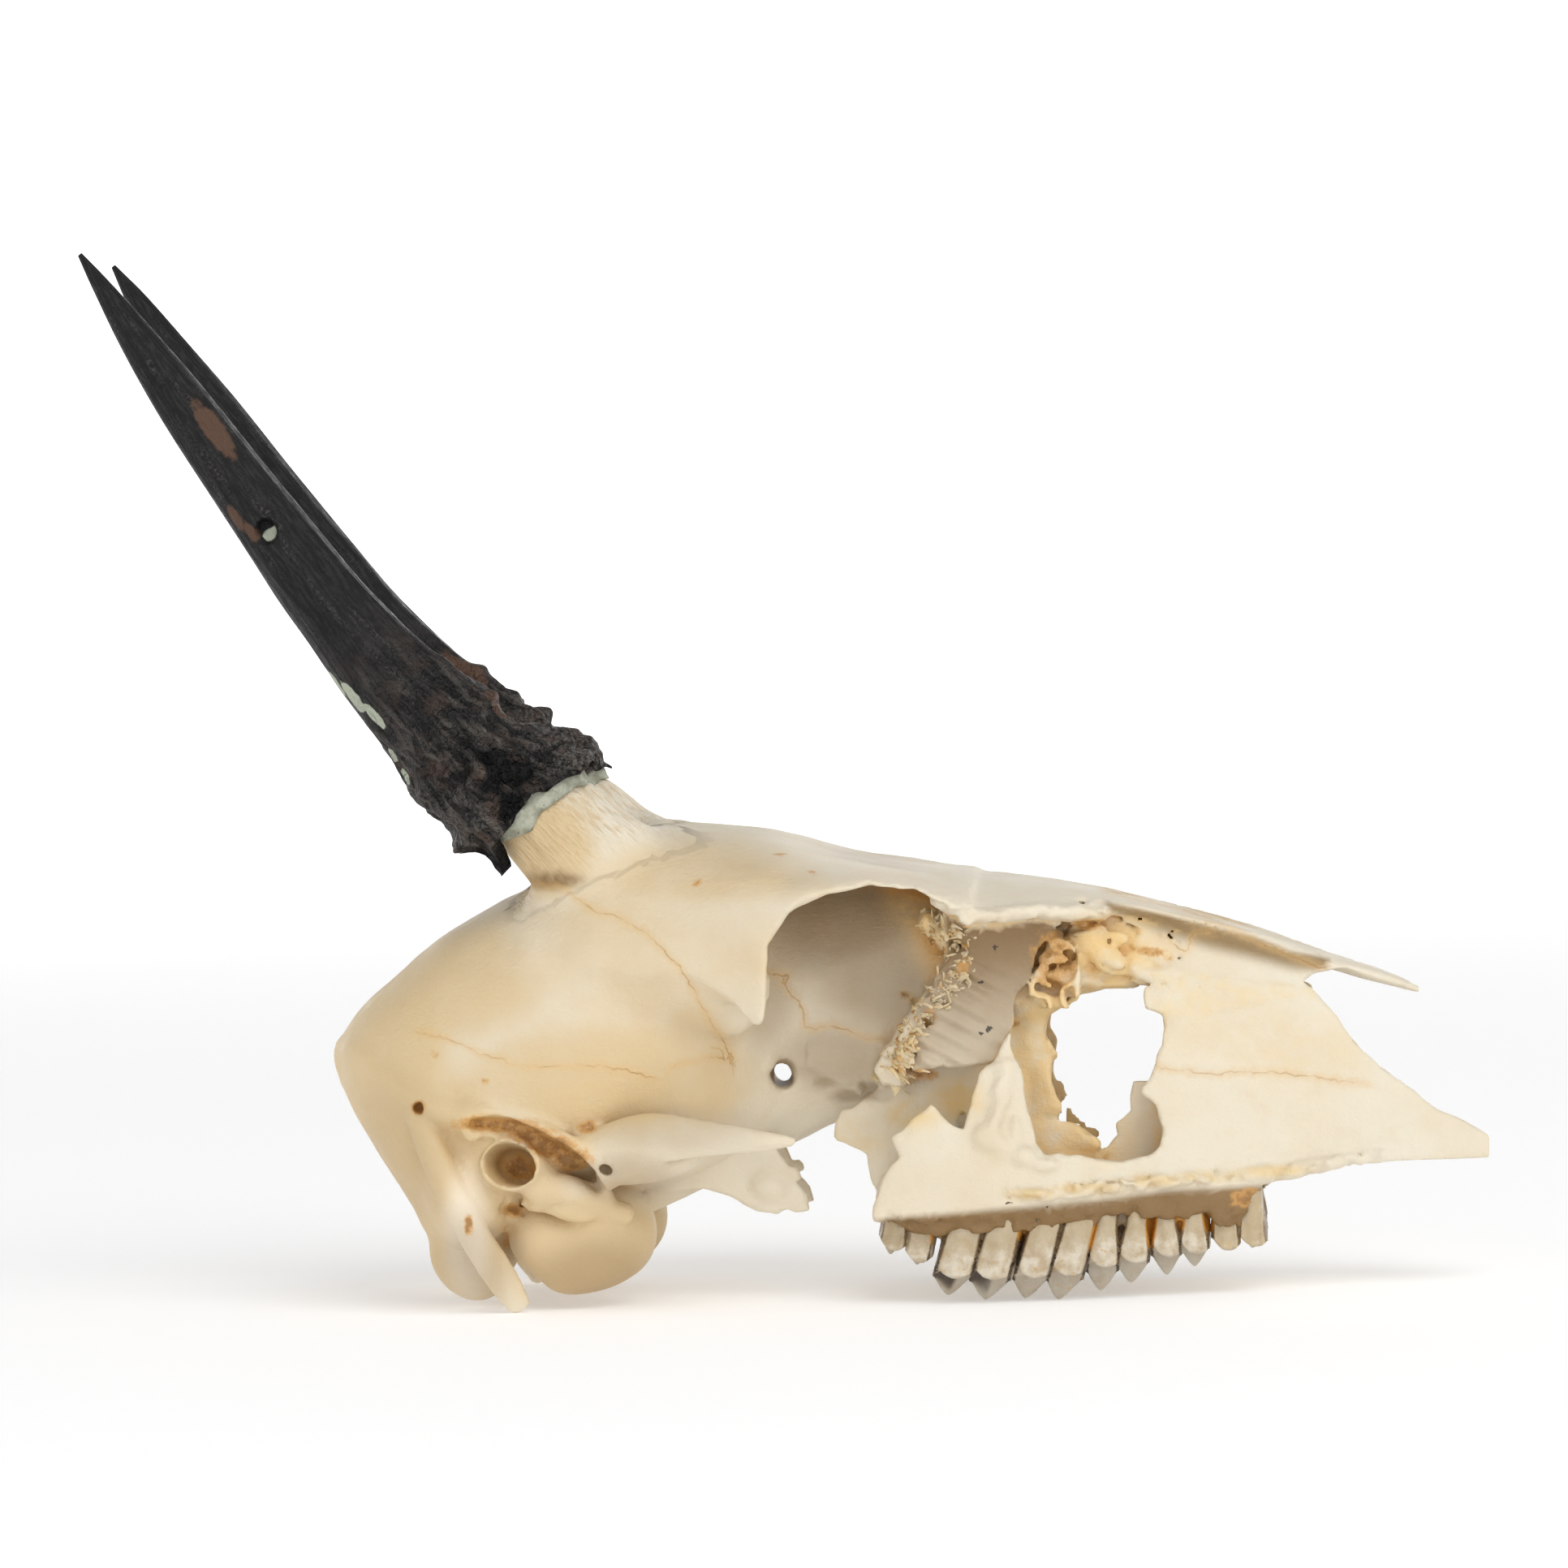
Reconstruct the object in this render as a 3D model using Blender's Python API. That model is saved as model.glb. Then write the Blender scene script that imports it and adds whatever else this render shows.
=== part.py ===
"""A common duiker's skull without its lower jaw: the bone, two bedded horn sheaths and twelve cheek teeth.

Sizes are written in millimetres and scaled to metres when each mesh is finished.
The skull faces +X, and its right side is -Y. It stands on Z = 0, on its teeth and a process behind each ear.
Half sections and side outlines are drawn once, for both sides or for the side that a name gives.
"""

import math

import bmesh
import bpy
import numpy as np
from mathutils import Matrix, Vector

MM = 0.001
RIGHT, LEFT = -1, 1
SIDES = {"right": RIGHT, "left": LEFT}
OUT = 45.0  # further from the middle plane than any bone
SEAT_GAP = 0.35  # clearance between a tooth or sheath and the bone it sits in

# Where the drawing's own origin is, seen from the middle of the finished skull's length, on the ground
DRAWN_FROM = Vector((-1.1, 0.0, -1.6))
GROUND = -DRAWN_FROM.z

# Horns. Each station along one gives how far forwards its centre is from the straight line from tip to foot.
HORN_TIP = {RIGHT: Vector((-98.7, -17.0, 155.2)), LEFT: Vector((-98.3, 17.0, 154.0))}
HORN_FOOT = {RIGHT: Vector((-33.6, -14.2, 72.3)), LEFT: Vector((-33.6, 14.2, 72.3))}
HORN_STATIONS = [
    # distance, offset, half width fore and aft
    (0.0, 0.0, 0.35),
    (6.0, -0.6, 1.5),
    (14.2, -1.4, 2.6),
    (26.0, -2.3, 3.8),
    (41.0, -3.4, 4.6),
    (53.4, -4.1, 5.3),
    (65.0, -4.5, 5.9),
    (75.8, -4.3, 7.0),
    (83.6, -3.5, 7.8),
    (90.4, -3.0, 8.8),
    (97.4, -2.3, 9.7),
    (103.2, -1.3, 10.5),
]
HORN_FLATNESS = 0.88  # width across the head, as a share of the width fore and aft
CORE_STATIONS = [
    (47.0, -3.9, 1.2),
    (59.0, -4.2, 3.2),
    (74.0, -3.5, 4.8),
    (88.5, -2.2, 6.0),
    (98.5, -1.1, 6.7),
    (103.4, -0.2, 7.6),
    (106.0, 0.3, 8.2),
    (110.5, 0.7, 8.6),
    (115.5, 1.2, 9.0),
    (122.0, 1.6, 7.0),
]
BEDDING_STATIONS = [(95.4, -1.7, 7.7), (99.4, -1.3, 8.1), (103.4, -0.7, 8.9)]
DRILL_HOLE_AT, DRILL_HOLE_OFFSET, DRILL_HOLE_RADIUS = 47.6, -4.8, 1.6

# Braincase and the narrow body between the orbits: x, top, bottom, half width, height of the widest level
BRAINCASE = [
    (-65.6, 40.5, 33.5, 6.0, 37.0),
    (-62.2, 45.0, 27.5, 15.5, 35.0),
    (-56.0, 50.3, 18.0, 21.5, 33.0),
    (-48.0, 56.4, 14.5, 24.6, 34.0),
    (-38.6, 61.2, 14.0, 26.4, 37.0),
    (-29.0, 63.6, 15.5, 26.6, 39.0),
    (-19.0, 64.4, 17.5, 24.6, 41.0),
    (-10.0, 63.6, 20.5, 19.8, 43.0),
    (-3.0, 62.4, 24.8, 13.2, 45.0),
    (3.0, 60.0, 29.0, 8.0, 46.0),
]
ORBIT_BODY = [
    (-14.0, 63.8, 21.0, 18.0, 44.0),
    (-4.0, 64.5, 24.8, 12.4, 45.0),
    (5.0, 64.0, 27.6, 10.2, 46.0),
    (13.0, 62.6, 29.6, 9.6, 47.0),
    (21.0, 61.4, 34.6, 10.4, 48.0),
    (29.0, 60.0, 36.0, 12.0, 49.0),
    (36.0, 58.0, 42.0, 12.0, 50.0),
    (40.0, 56.5, 47.0, 9.5, 51.5),
]

# Frontal shield, from the horns to the brow: x, then (y, z) from the middle to the free edge, top surface
SHIELD_THICKNESS = 2.2
FRONTAL_SHIELD = [
    (-36.0, [(0.0, 62.0), (9.0, 61.6), (15.0, 59.4), (19.0, 56.4), (21.5, 52.8)]),
    (-28.0, [(0.0, 66.4), (9.0, 67.2), (17.0, 64.8), (22.5, 59.6), (24.8, 52.4)]),
    (-20.0, [(0.0, 69.2), (9.0, 70.8), (17.5, 67.8), (24.0, 61.4), (26.4, 51.0)]),
    (-12.8, [(0.0, 69.6), (9.0, 70.2), (18.5, 67.6), (26.5, 61.4), (28.4, 51.2)]),
    (-6.6, [(0.0, 69.2), (9.0, 69.6), (19.5, 67.2), (29.4, 61.4), (31.2, 46.6)]),
    (-2.0, [(0.0, 68.5), (9.0, 69.0), (20.5, 66.8), (31.2, 61.6), (33.4, 43.8)]),
    (1.8, [(0.0, 67.4), (9.0, 68.0), (21.0, 66.4), (31.2, 62.9), (34.0, 59.0)]),
    (7.0, [(0.0, 65.8), (9.0, 66.4), (21.0, 65.4), (30.5, 63.6), (33.8, 62.0)]),
    (13.4, [(0.0, 64.3), (9.0, 64.8), (20.5, 64.4), (29.0, 63.5), (32.6, 62.5)]),
    (20.6, [(0.0, 63.3), (9.0, 63.5), (18.5, 63.1), (26.0, 62.2), (29.8, 61.2)]),
    (27.4, [(0.0, 62.6), (8.5, 62.6), (15.5, 61.8), (22.0, 60.4), (26.2, 58.0)]),
]

# Face: x, then its half section as (y, z): middle of the roof, shoulder, edge of the roof, tuck under it,
# upper wall, lower wall, ridge, foot and palate
FACE = [
    (9.0, [
        (0, 64.8), (16, 64.0), (31.0, 61.8), (30, 59.8), (23, 46.0),
        (21.0, 30.0), (22.0, 16.9), (20.5, 13.8), (0, 17.0),
    ]),
    (20.0, [
        (0, 63.2), (15, 62.6), (28.0, 60.4), (26, 58.0), (21, 46.0),
        (21.2, 31.0), (22.8, 16.9), (20.8, 13.8), (0, 17.2),
    ]),
    (30.0, [
        (0, 62.2), (12, 61.7), (23.6, 58.0), (20.6, 55.4), (18.2, 46.0),
        (19.8, 32.0), (22.6, 17.0), (20.0, 14.0), (0, 17.6),
    ]),
    (40.0, [
        (0, 60.8), (10, 60.4), (18.2, 58.2), (15.6, 55.4), (15.4, 46.0),
        (17.4, 33.0), (20.8, 17.4), (18.2, 14.6), (0, 18.0),
    ]),
    (50.0, [
        (0, 58.7), (7.5, 58.6), (13.2, 57.9), (11.8, 55.0), (13.2, 46.0),
        (15.2, 33.0), (18.6, 17.8), (16.2, 15.2), (0, 18.2),
    ]),
    (60.0, [
        (0, 55.6), (6.5, 55.6), (11.0, 55.0), (9.6, 51.8), (11.2, 45.0),
        (13.0, 33.0), (15.6, 18.4), (13.6, 16.2), (0, 18.4),
    ]),
    (70.0, [
        (0, 52.5), (5.2, 52.4), (8.8, 51.7), (7.6, 48.8), (9.2, 43.2),
        (10.8, 32.0), (12.4, 19.4), (10.8, 17.6), (0, 19.0),
    ]),
    (79.0, [
        (0, 49.4), (4.0, 49.3), (6.6, 48.5), (6.2, 46.0), (7.6, 40.6),
        (8.8, 30.0), (9.8, 20.6), (8.6, 19.2), (0, 19.6),
    ]),
    (88.5, [
        (0, 46.2), (1.8, 46.1), (3.2, 45.4), (4.2, 42.4), (6.2, 36.4),
        (7.2, 28.4), (8.0, 21.2), (7.2, 19.8), (0, 20.2),
    ]),
    (101.2, [
        (0, 40.0), (1.2, 40.0), (2.2, 39.0), (3.2, 36.0), (4.4, 30.0),
        (5.4, 25.2), (5.8, 21.0), (5.2, 19.9), (0, 20.2),
    ]),
]
FACE_WALL = 1.7
PALATE_THICKNESS = 1.7
CAVITY_FROM, CAVITY_TO = 14.0, 98.0
# The slit through the palate beside its middle bar
PALATE_SLIT = [(76.0, 3.6, 20.0), (82.0, 4.0, 20.0), (91.0, 3.6, 20.0), (97.0, 2.8, 20.0)]

# Side outlines, (x, z)
ORBIT_OUTLINE = [
    (-1.6, 42.0), (-1.6, 47.0), (-1.2, 54.5), (2.2, 59.0), (7.4, 61.6), (13.4, 62.6), (19.6, 61.6),
    (24.2, 59.4), (25.0, 55.8), (25.6, 50.4), (23.2, 46.0), (19.2, 40.4), (13.7, 35.2), (11.8, 8.0),
    (-8.0, 8.0), (-8.0, 38.5),
]
GAP_OUTLINE = [
    (8.6, 37.5), (16.4, 35.4), (24.6, 35.2), (30.0, 36.0), (28.0, 33.9), (26.6, 30.0), (25.6, 26.8),
    (23.6, 27.4), (21.0, 30.4), (18.8, 28.6), (17.0, 27.0), (14.7, 25.8), (16.0, 22.9), (13.8, 20.2),
    (11.6, 15.6), (9.8, 8.0), (5.0, 8.0),
]
CHEEK_OUTLINE = {
    "right": [
        (45.8, 58.6), (50.1, 55.4), (54.3, 53.1), (55.9, 51.1), (53.3, 48.4), (55.1, 44.1), (54.5, 39.2),
        (52.7, 33.3), (50.8, 31.5), (53.4, 29.2), (54.2, 26.2), (52.8, 23.3), (48.0, 21.9), (41.0, 21.9),
        (36.8, 22.9), (35.0, 27.4), (34.1, 35.3), (32.2, 39.6), (33.8, 45.3), (36.3, 48.2), (37.2, 51.8),
        (41.4, 53.6), (45.0, 54.8),
    ],
    "left": [
        (45.0, 56.4), (50.2, 54.0), (54.6, 51.0), (54.6, 47.6), (57.0, 42.5), (56.6, 37.0), (55.0, 31.0),
        (52.4, 27.4), (50.0, 23.0), (47.4, 19.8), (41.6, 20.6), (36.8, 21.8), (35.0, 27.0), (33.8, 35.0),
        (33.0, 42.5), (36.4, 48.0), (38.4, 52.0),
    ],
}
NOSE_OUTLINE = [
    (75.0, 46.0), (76.2, 47.3), (80.3, 48.1), (84.6, 46.8), (90.3, 45.1), (91.2, 46.8), (104.0, 44.0),
    (104.0, 22.9), (101.3, 23.3), (99.6, 24.5), (97.0, 25.9), (94.2, 27.1), (90.7, 30.1), (85.8, 33.7),
    (81.0, 39.1), (77.1, 44.3),
]
INNER_WALL_OUTLINE = [
    (6.4, 24.6), (7.6, 29.0), (12.8, 31.4), (20.2, 36.4), (30.2, 39.8), (37.5, 42.8), (37.5, 39.2),
    (38.7, 36.6), (38.0, 32.2), (39.7, 29.6), (42.5, 25.0), (45.3, 21.8), (44.0, 18.2), (12.0, 18.2),
    (11.1, 22.2),
]
INNER_WALL_Y, INNER_WALL_THICKNESS = 8.4, 1.6
THROAT_OUTLINE = [(4.0, 8.0), (4.0, 33.5), (15.0, 34.5), (23.0, 31.0), (26.5, 25.0), (24.5, 8.0)]

# Teeth, back to front: name, start and end along the jaw, width, number of lobes, and for each lobe the
# lowest level of its outer wall and that of its cusps
TEETH = [
    ("molar_3", 12.9, 20.4, 6.6, 2, (9.6, 7.8), (8.6, 6.9)),
    ("molar_2", 20.9, 31.8, 8.8, 2, (5.2, 4.7), (2.6, 1.8)),
    ("molar_1", 32.4, 42.3, 8.6, 2, (4.7, 5.0), (1.9, 1.6)),
    ("premolar_4", 42.9, 51.6, 7.8, 2, (6.2, 6.6), (2.6, 3.6)),
    ("premolar_3", 52.2, 60.3, 6.0, 2, (7.1, 7.2), (4.6, 5.6)),
    ("premolar_2", 60.9, 68.6, 4.4, 1, (8.3,), (7.8,)),
]
TOOTH_ROW = [(10.0, 15.8), (20.0, 17.0), (28.0, 17.2), (38.0, 16.4), (48.0, 14.7), (58.0, 12.8), (70.0, 10.7)]
GUM_LINE = [
    (12.6, 13.4), (16.0, 11.6), (21.0, 10.8), (31.0, 12.0), (43.0, 12.9), (50.0, 13.3), (57.0, 13.6),
    (62.0, 14.6), (66.0, 16.2), (70.0, 16.9),
]
SOCKET_TOP = 17.4
ROOT_SHARE = 0.62  # a root's width, as a share of its crown's

VOXEL = 0.75
CRANIUM_TRIANGLES = 5200

COLOURS = {
    "bone": (0.86, 0.76, 0.58),
    "horn": (0.035, 0.034, 0.036),
    "bedding": (0.46, 0.48, 0.40),
    "enamel": (0.78, 0.73, 0.64),
}
ROUGHNESS = {"bone": 0.55, "horn": 0.5, "bedding": 0.85, "enamel": 0.35}


def clear_scene():
    for obj in list(bpy.data.objects):
        bpy.data.objects.remove(obj)


def material(name):
    made = bpy.data.materials.new(name)
    made.use_nodes = True
    shader = made.node_tree.nodes["Principled BSDF"]
    shader.inputs["Base Color"].default_value = (*COLOURS[name], 1.0)
    shader.inputs["Roughness"].default_value = ROUGHNESS[name]
    shader.inputs["Metallic"].default_value = 0.0
    made.diffuse_color = (*COLOURS[name], 1.0)
    return made


def spline(rows, steps):
    """A smooth curve through rows of numbers of any shape, with this many points for each span."""
    rows = np.asarray(rows, float)
    ends = np.concatenate([2 * rows[:1] - rows[1:2], rows, 2 * rows[-1:] - rows[-2:-1]])
    points = []
    for before, start, end, after in zip(ends, ends[1:], ends[2:], ends[3:]):
        for t in np.arange(steps) / steps:
            points.append(
                0.5
                * (
                    2 * start
                    + (end - before) * t
                    + (2 * before - 5 * start + 4 * end - after) * t**2
                    + (3 * start - before - 3 * end + after) * t**3
                )
            )
    points.append(rows[-1])
    return np.array(points)


def between(table, x):
    """A value read from (x, value) pairs."""
    xs, values = zip(*table)
    return float(np.interp(x, xs, values))


def oval(top, bottom, half_width, widest, count=12, power=2.3):
    """Half section, from the middle of the top to the middle of the bottom."""
    points = []
    for turn in np.linspace(0.0, math.pi, count):
        across, up = math.sin(turn), math.cos(turn)
        y = half_width * across ** (2 / power)
        reach = (top - widest) if up > 0 else (widest - bottom)
        points.append((y, widest + math.copysign(abs(up) ** (2 / power), up) * reach))
    points[0] = (0.0, top)
    points[-1] = (0.0, bottom)
    return points


def add_rings(bm, rings):
    """A closed skin through rings of the same number of points, with its two ends capped."""
    skins = [[bm.verts.new(Vector(p)) for p in ring] for ring in rings]
    count = len(skins[0])
    for one, other in zip(skins, skins[1:]):
        for i in range(count):
            j = (i + 1) % count
            bm.faces.new((one[i], one[j], other[j], other[i]))
    bm.faces.new(skins[0])
    bm.faces.new(skins[-1])


def add_hull(bm, xs, halves):
    """A symmetric body from half sections at these x."""
    rings = []
    for x, half in zip(xs, halves):
        right = [(x, -y, z) for y, z in half]
        left = [(x, y, z) for y, z in half[-2:0:-1]]
        rings.append(right + left)
    add_rings(bm, rings)


def add_oval_hull(bm, stations, steps=3):
    dense = spline(stations, steps)
    add_hull(bm, dense[:, 0], [oval(*row[1:]) for row in dense])


def add_tube(bm, path, sizes, up=(0, 0, 1), steps=5, count=14):
    """A round-ended tube. A size is the half width across the up direction, and the half width along it."""
    path = spline(path, steps)
    sizes = spline(sizes, steps)
    tangents = np.gradient(path, axis=0)
    rings = []
    for centre, (wide, tall), tangent in zip(path, sizes, tangents):
        along = Vector(tangent).normalized()
        side = along.cross(Vector(up)).normalized()
        top = side.cross(along)
        ring = []
        for turn in np.arange(count) / count * math.tau:
            ring.append(Vector(centre) + side * wide * math.cos(turn) + top * tall * math.sin(turn))
        rings.append(ring)
    for end, inner in ((0, 1), (-1, -2)):
        centre = Vector(path[end])
        outwards = (centre - Vector(path[inner])).normalized() * min(sizes[end]) * 0.5
        cap = [centre + (p - centre) * 0.6 + outwards for p in rings[end]]
        rings.insert(0 if end == 0 else len(rings), cap)
    add_rings(bm, rings)


def add_ball(bm, centre, radii, turn=(0, 0, 0)):
    place = Matrix.Translation(Vector(centre))
    for axis, angle in zip("XYZ", turn):
        place = place @ Matrix.Rotation(math.radians(angle), 4, axis)
    place = place @ Matrix.Diagonal((*radii, 1.0))
    bmesh.ops.create_uvsphere(bm, u_segments=20, v_segments=12, radius=1.0, matrix=place)


def add_prism(bm, outline, low, high):
    """A side outline pushed across the head, from y = low to y = high."""
    face = bm.faces.new([bm.verts.new((x, low, z)) for x, z in outline])
    grown = bmesh.ops.extrude_face_region(bm, geom=[face], use_keep_orig=True)
    moved = [v for v in grown["geom"] if isinstance(v, bmesh.types.BMVert)]
    bmesh.ops.translate(bm, verts=moved, vec=(0, high - low, 0))


def add_side_prism(bm, outline, side, inner, outer):
    low, high = sorted((side * inner, side * outer))
    add_prism(bm, outline, low, high)


def add_sheet(bm, stations, thickness, steps=3):
    """A symmetric plate under a top surface through the stations, this thick downwards and inwards."""
    xs = spline([[x] for x, _ in stations], steps)[:, 0]
    tops = [spline(row, 3) for row in spline([row for _, row in stations], steps)]
    halves = []
    for top in tops:
        run = np.gradient(top, axis=0)
        normal = np.stack([run[:, 1], -run[:, 0]], axis=1)
        normal /= np.linalg.norm(normal, axis=1)[:, None]
        under = top + normal * thickness
        under[0] = (0.0, top[0, 1] - thickness)
        halves.append(np.concatenate([top, under[::-1]]))
    add_hull(bm, xs, halves)


def mirrored(points, side):
    return [(x, side * y, z) for x, y, z in points]


def finish(bm, name, scaled=True):
    """Turns what was modelled into an object, in metres."""
    bmesh.ops.triangulate(bm, faces=[f for f in bm.faces if len(f.verts) > 4])
    bmesh.ops.recalc_face_normals(bm, faces=bm.faces)
    mesh = bpy.data.meshes.new(name)
    if scaled:
        bmesh.ops.scale(bm, vec=(MM, MM, MM), verts=bm.verts)
    bm.to_mesh(mesh)
    bm.free()
    obj = bpy.data.objects.new(name, mesh)
    bpy.context.scene.collection.objects.link(obj)
    return obj


def as_cutter(obj):
    obj.hide_render = True
    obj.display_type = "WIRE"
    return obj


def bake_modifiers(obj):
    """Replaces the object's mesh with the mesh that its modifiers make."""
    bpy.context.view_layer.update()
    evaluated = obj.evaluated_get(bpy.context.evaluated_depsgraph_get())
    mesh = bpy.data.meshes.new_from_object(evaluated)
    obj.modifiers.clear()
    obj.data = mesh


def remesh(obj, voxel=VOXEL):
    one_skin = obj.modifiers.new("one skin", "REMESH")
    one_skin.mode = "VOXEL"
    one_skin.voxel_size = voxel * MM


def soften(obj, repeats):
    smooth = obj.modifiers.new("soften", "SMOOTH")
    smooth.factor = 0.5
    smooth.iterations = repeats


def boolean(obj, other, operation="DIFFERENCE"):
    cut = obj.modifiers.new(other.name, "BOOLEAN")
    cut.operation = operation
    cut.object = other
    cut.solver = "EXACT"


def horn_frame(side):
    """Tip, direction towards the foot, forward direction and sideways direction of one horn."""
    tip = HORN_TIP[side]
    along = (HORN_FOOT[side] - tip).normalized()
    sideways = along.cross(Vector((0.78, 0.0, 0.62))).normalized()
    return tip, along, sideways.cross(along).normalized(), sideways


def horn_rings(side, stations, grow=0.0, steps=1, count=14):
    """Rings of a horn or its core, grown outwards by this much."""
    tip, along, forwards, sideways = horn_frame(side)
    rings = []
    for distance, offset, half in spline(stations, steps):
        centre = tip + along * distance + forwards * offset
        half = half + grow
        ring = []
        for turn in np.arange(count) / count * math.tau:
            ring.append(
                centre + forwards * half * math.cos(turn) + sideways * half * HORN_FLATNESS * math.sin(turn)
            )
        rings.append(ring)
    return rings


def add_braincase(bm):
    add_oval_hull(bm, BRAINCASE)
    add_oval_hull(bm, ORBIT_BODY)
    add_tube(
        bm,
        [(-45.0, 0, 10.6), (-34.0, 0, 13.0), (-22.0, 0, 17.2), (-8.0, 0, 23.4), (6.0, 0, 29.0)],
        [(8.5, 3.2), (6.5, 3.5), (5.0, 3.5), (4.0, 3.2), (3.2, 2.2)],
    )
    for side in SIDES.values():
        crest = [
            (-64.6, 4, 38.2), (-62.0, 13, 38.2), (-57.4, 19.5, 35.4), (-50.8, 23.8, 32.2),
            (-43.0, 26.0, 30.0),
        ]
        add_tube(bm, mirrored(crest, side), [(1.6, 1.8)] * 4 + [(1.4, 1.8)])
        margin = [(-45.0, 25.6, 30.4), (-36.5, 26.6, 28.6), (-30.5, 26.8, 26.2), (-26.0, 26.6, 22.8)]
        add_tube(bm, mirrored(margin, side), [(1.8, 1.9), (1.8, 1.8), (1.8, 1.8), (1.6, 1.6)])


def add_brow_web(bm):
    """The bone that joins the brow to the braincase behind each orbit."""
    path = [
        (-30.0, 19.0, 58.0), (-20.0, 20.5, 58.5), (-12.8, 21.5, 57.5), (-7.0, 22.0, 55.5), (-4.5, 21.5, 53.5),
    ]
    for side in SIDES.values():
        add_tube(bm, mirrored(path, side), [(4.0, 6.0), (5.0, 8.0), (5.8, 9.0), (5.6, 8.5), (4.0, 6.5)])


def add_horn_cores(bm):
    for side in SIDES.values():
        add_rings(bm, horn_rings(side, CORE_STATIONS))


def add_occiput(bm):
    """The back of the skull: its plate, the two condyles that carried it, and a process behind each ear."""
    add_ball(bm, (-46.0, 0, 19.5), (10.0, 23.0, 10.5))
    for side in SIDES.values():
        add_ball(bm, (-46.4, side * 9.6, 9.4), (6.0, 5.4, 7.0), (0, 20 * side, 0))
        shelf = [(-48.0, 9, 15.0), (-46.5, 16, 16.0), (-45.0, 22, 18.0)]
        add_tube(bm, mirrored(shelf, side), [(5.0, 5.0), (4.6, 5.0), (4.0, 5.0)])
        process = [
            (-51.6, 21.8, 28.0), (-48.2, 23.8, 21.2), (-45.2, 24.0, 14.0), (-41.4, 22.2, 6.8),
            (-38.8, 20.8, 2.3),
        ]
        process_sizes = [(1.9, 2.2), (1.9, 2.3), (1.7, 2.6), (1.5, 2.7), (1.1, 1.9)]
        add_tube(bm, mirrored(process, side), process_sizes, up=(1, 0, 0))
        add_ball(bm, (-44.6, side * 18.5, 20.5), (6.5, 5.5, 8.0))


def add_ear(bm):
    for side in SIDES.values():
        add_ball(bm, (-29.2, side * 14.8, 12.1), (8.1, 7.2, 8.3))
        add_ball(bm, (-32.4, side * 16.5, 10.2), (5.0, 5.2, 6.0))
        canal = [(-34.0, 15.0, 19.0), (-37.0, 21.0, 22.0), (-39.3, 26.4, 23.6)]
        add_tube(bm, mirrored(canal, side), [(5.0, 4.6), (4.4, 4.0), (4.3, 3.8)])
        rod = [(-35.6, 21.5, 18.8), (-29.6, 21.5, 17.2), (-23.2, 20.0, 15.6)]
        add_tube(bm, mirrored(rod, side), [(1.8, 1.8)] * 3)


def add_cheek_arch(bm):
    """What is left of the cheek arch: the temporal bone's root, blade and joint surface."""
    for side in SIDES.values():
        blade = [
            (-28.4, 24.5, 25.0), (-19.6, 28.8, 27.0), (-10.2, 32.0, 27.2), (-2.4, 33.6, 26.8),
            (1.9, 34.0, 26.7),
        ]
        add_tube(bm, mirrored(blade, side), [(2.4, 2.6), (1.9, 4.0), (1.5, 2.6), (1.3, 1.4), (0.8, 0.7)])
        add_ball(bm, (-19.6, side * 23.2, 22.8), (7.6, 6.0, 2.6), (0, -8, 0))
        add_ball(bm, (-25.6, side * 24.0, 21.8), (2.2, 3.6, 2.6))


def add_skull_base(bm):
    """Wings that hang from the base in front of the ear bullae."""
    outline = [
        (-20.8, 20.6), (-20.8, 16.7), (-13.1, 19.1), (-8.2, 17.1), (-4.6, 14.7), (-0.2, 14.9), (0.8, 16.3),
        (2.8, 15.3), (1.4, 18.1), (0.6, 21.0), (-1.1, 26.6), (-13.6, 25.6),
    ]
    for side in SIDES.values():
        add_side_prism(bm, outline, side, 6.4, 8.4)


def add_inner_walls(bm):
    for side in SIDES.values():
        add_side_prism(bm, INNER_WALL_OUTLINE, side, INNER_WALL_Y, INNER_WALL_Y + INNER_WALL_THICKNESS)


def add_scrolls(bm):
    """The folded thin bones inside the nose, as plain rolls."""
    for side in SIDES.values():
        low = [(33.0, 6.0, 49.4), (42.0, 7.0, 49.6), (56.0, 7.4, 48.6)]
        add_tube(bm, mirrored(low, side), [(4.5, 5.0), (4.4, 4.4), (2.6, 2.6)])
        high = [(33.0, 4.0, 55.0), (46.0, 5.0, 54.6), (62.0, 4.8, 51.4)]
        add_tube(bm, mirrored(high, side), [(4.0, 3.4), (3.8, 2.8), (3.0, 2.2)])
        back = [(33.0, 8.0, 44.6), (36.5, 9.0, 44.6), (39.5, 9.4, 45.0)]
        add_tube(bm, mirrored(back, side), [(3.0, 3.6), (2.6, 3.0), (1.8, 1.8)])
    add_tube(bm, [(30.0, 0, 20.0), (60.0, 0, 21.0), (74.0, 0, 20.6)], [(1.2, 4.0), (1.1, 3.4), (1.0, 1.6)])
    add_tube(bm, [(72.0, 0, 20.2), (86.0, 0, 20.8), (99.4, 0, 21.2)], [(1.6, 1.3), (1.3, 1.2), (1.5, 1.2)])


def add_nasal_tips(bm):
    for side in SIDES.values():
        tip = [(72.0, 2.4, 50.6), (81.0, 2.2, 47.6), (91.4, 1.4, 44.2)]
        add_tube(bm, mirrored(tip, side), [(2.8, 0.8), (2.2, 0.8), (0.9, 0.55)])


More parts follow.
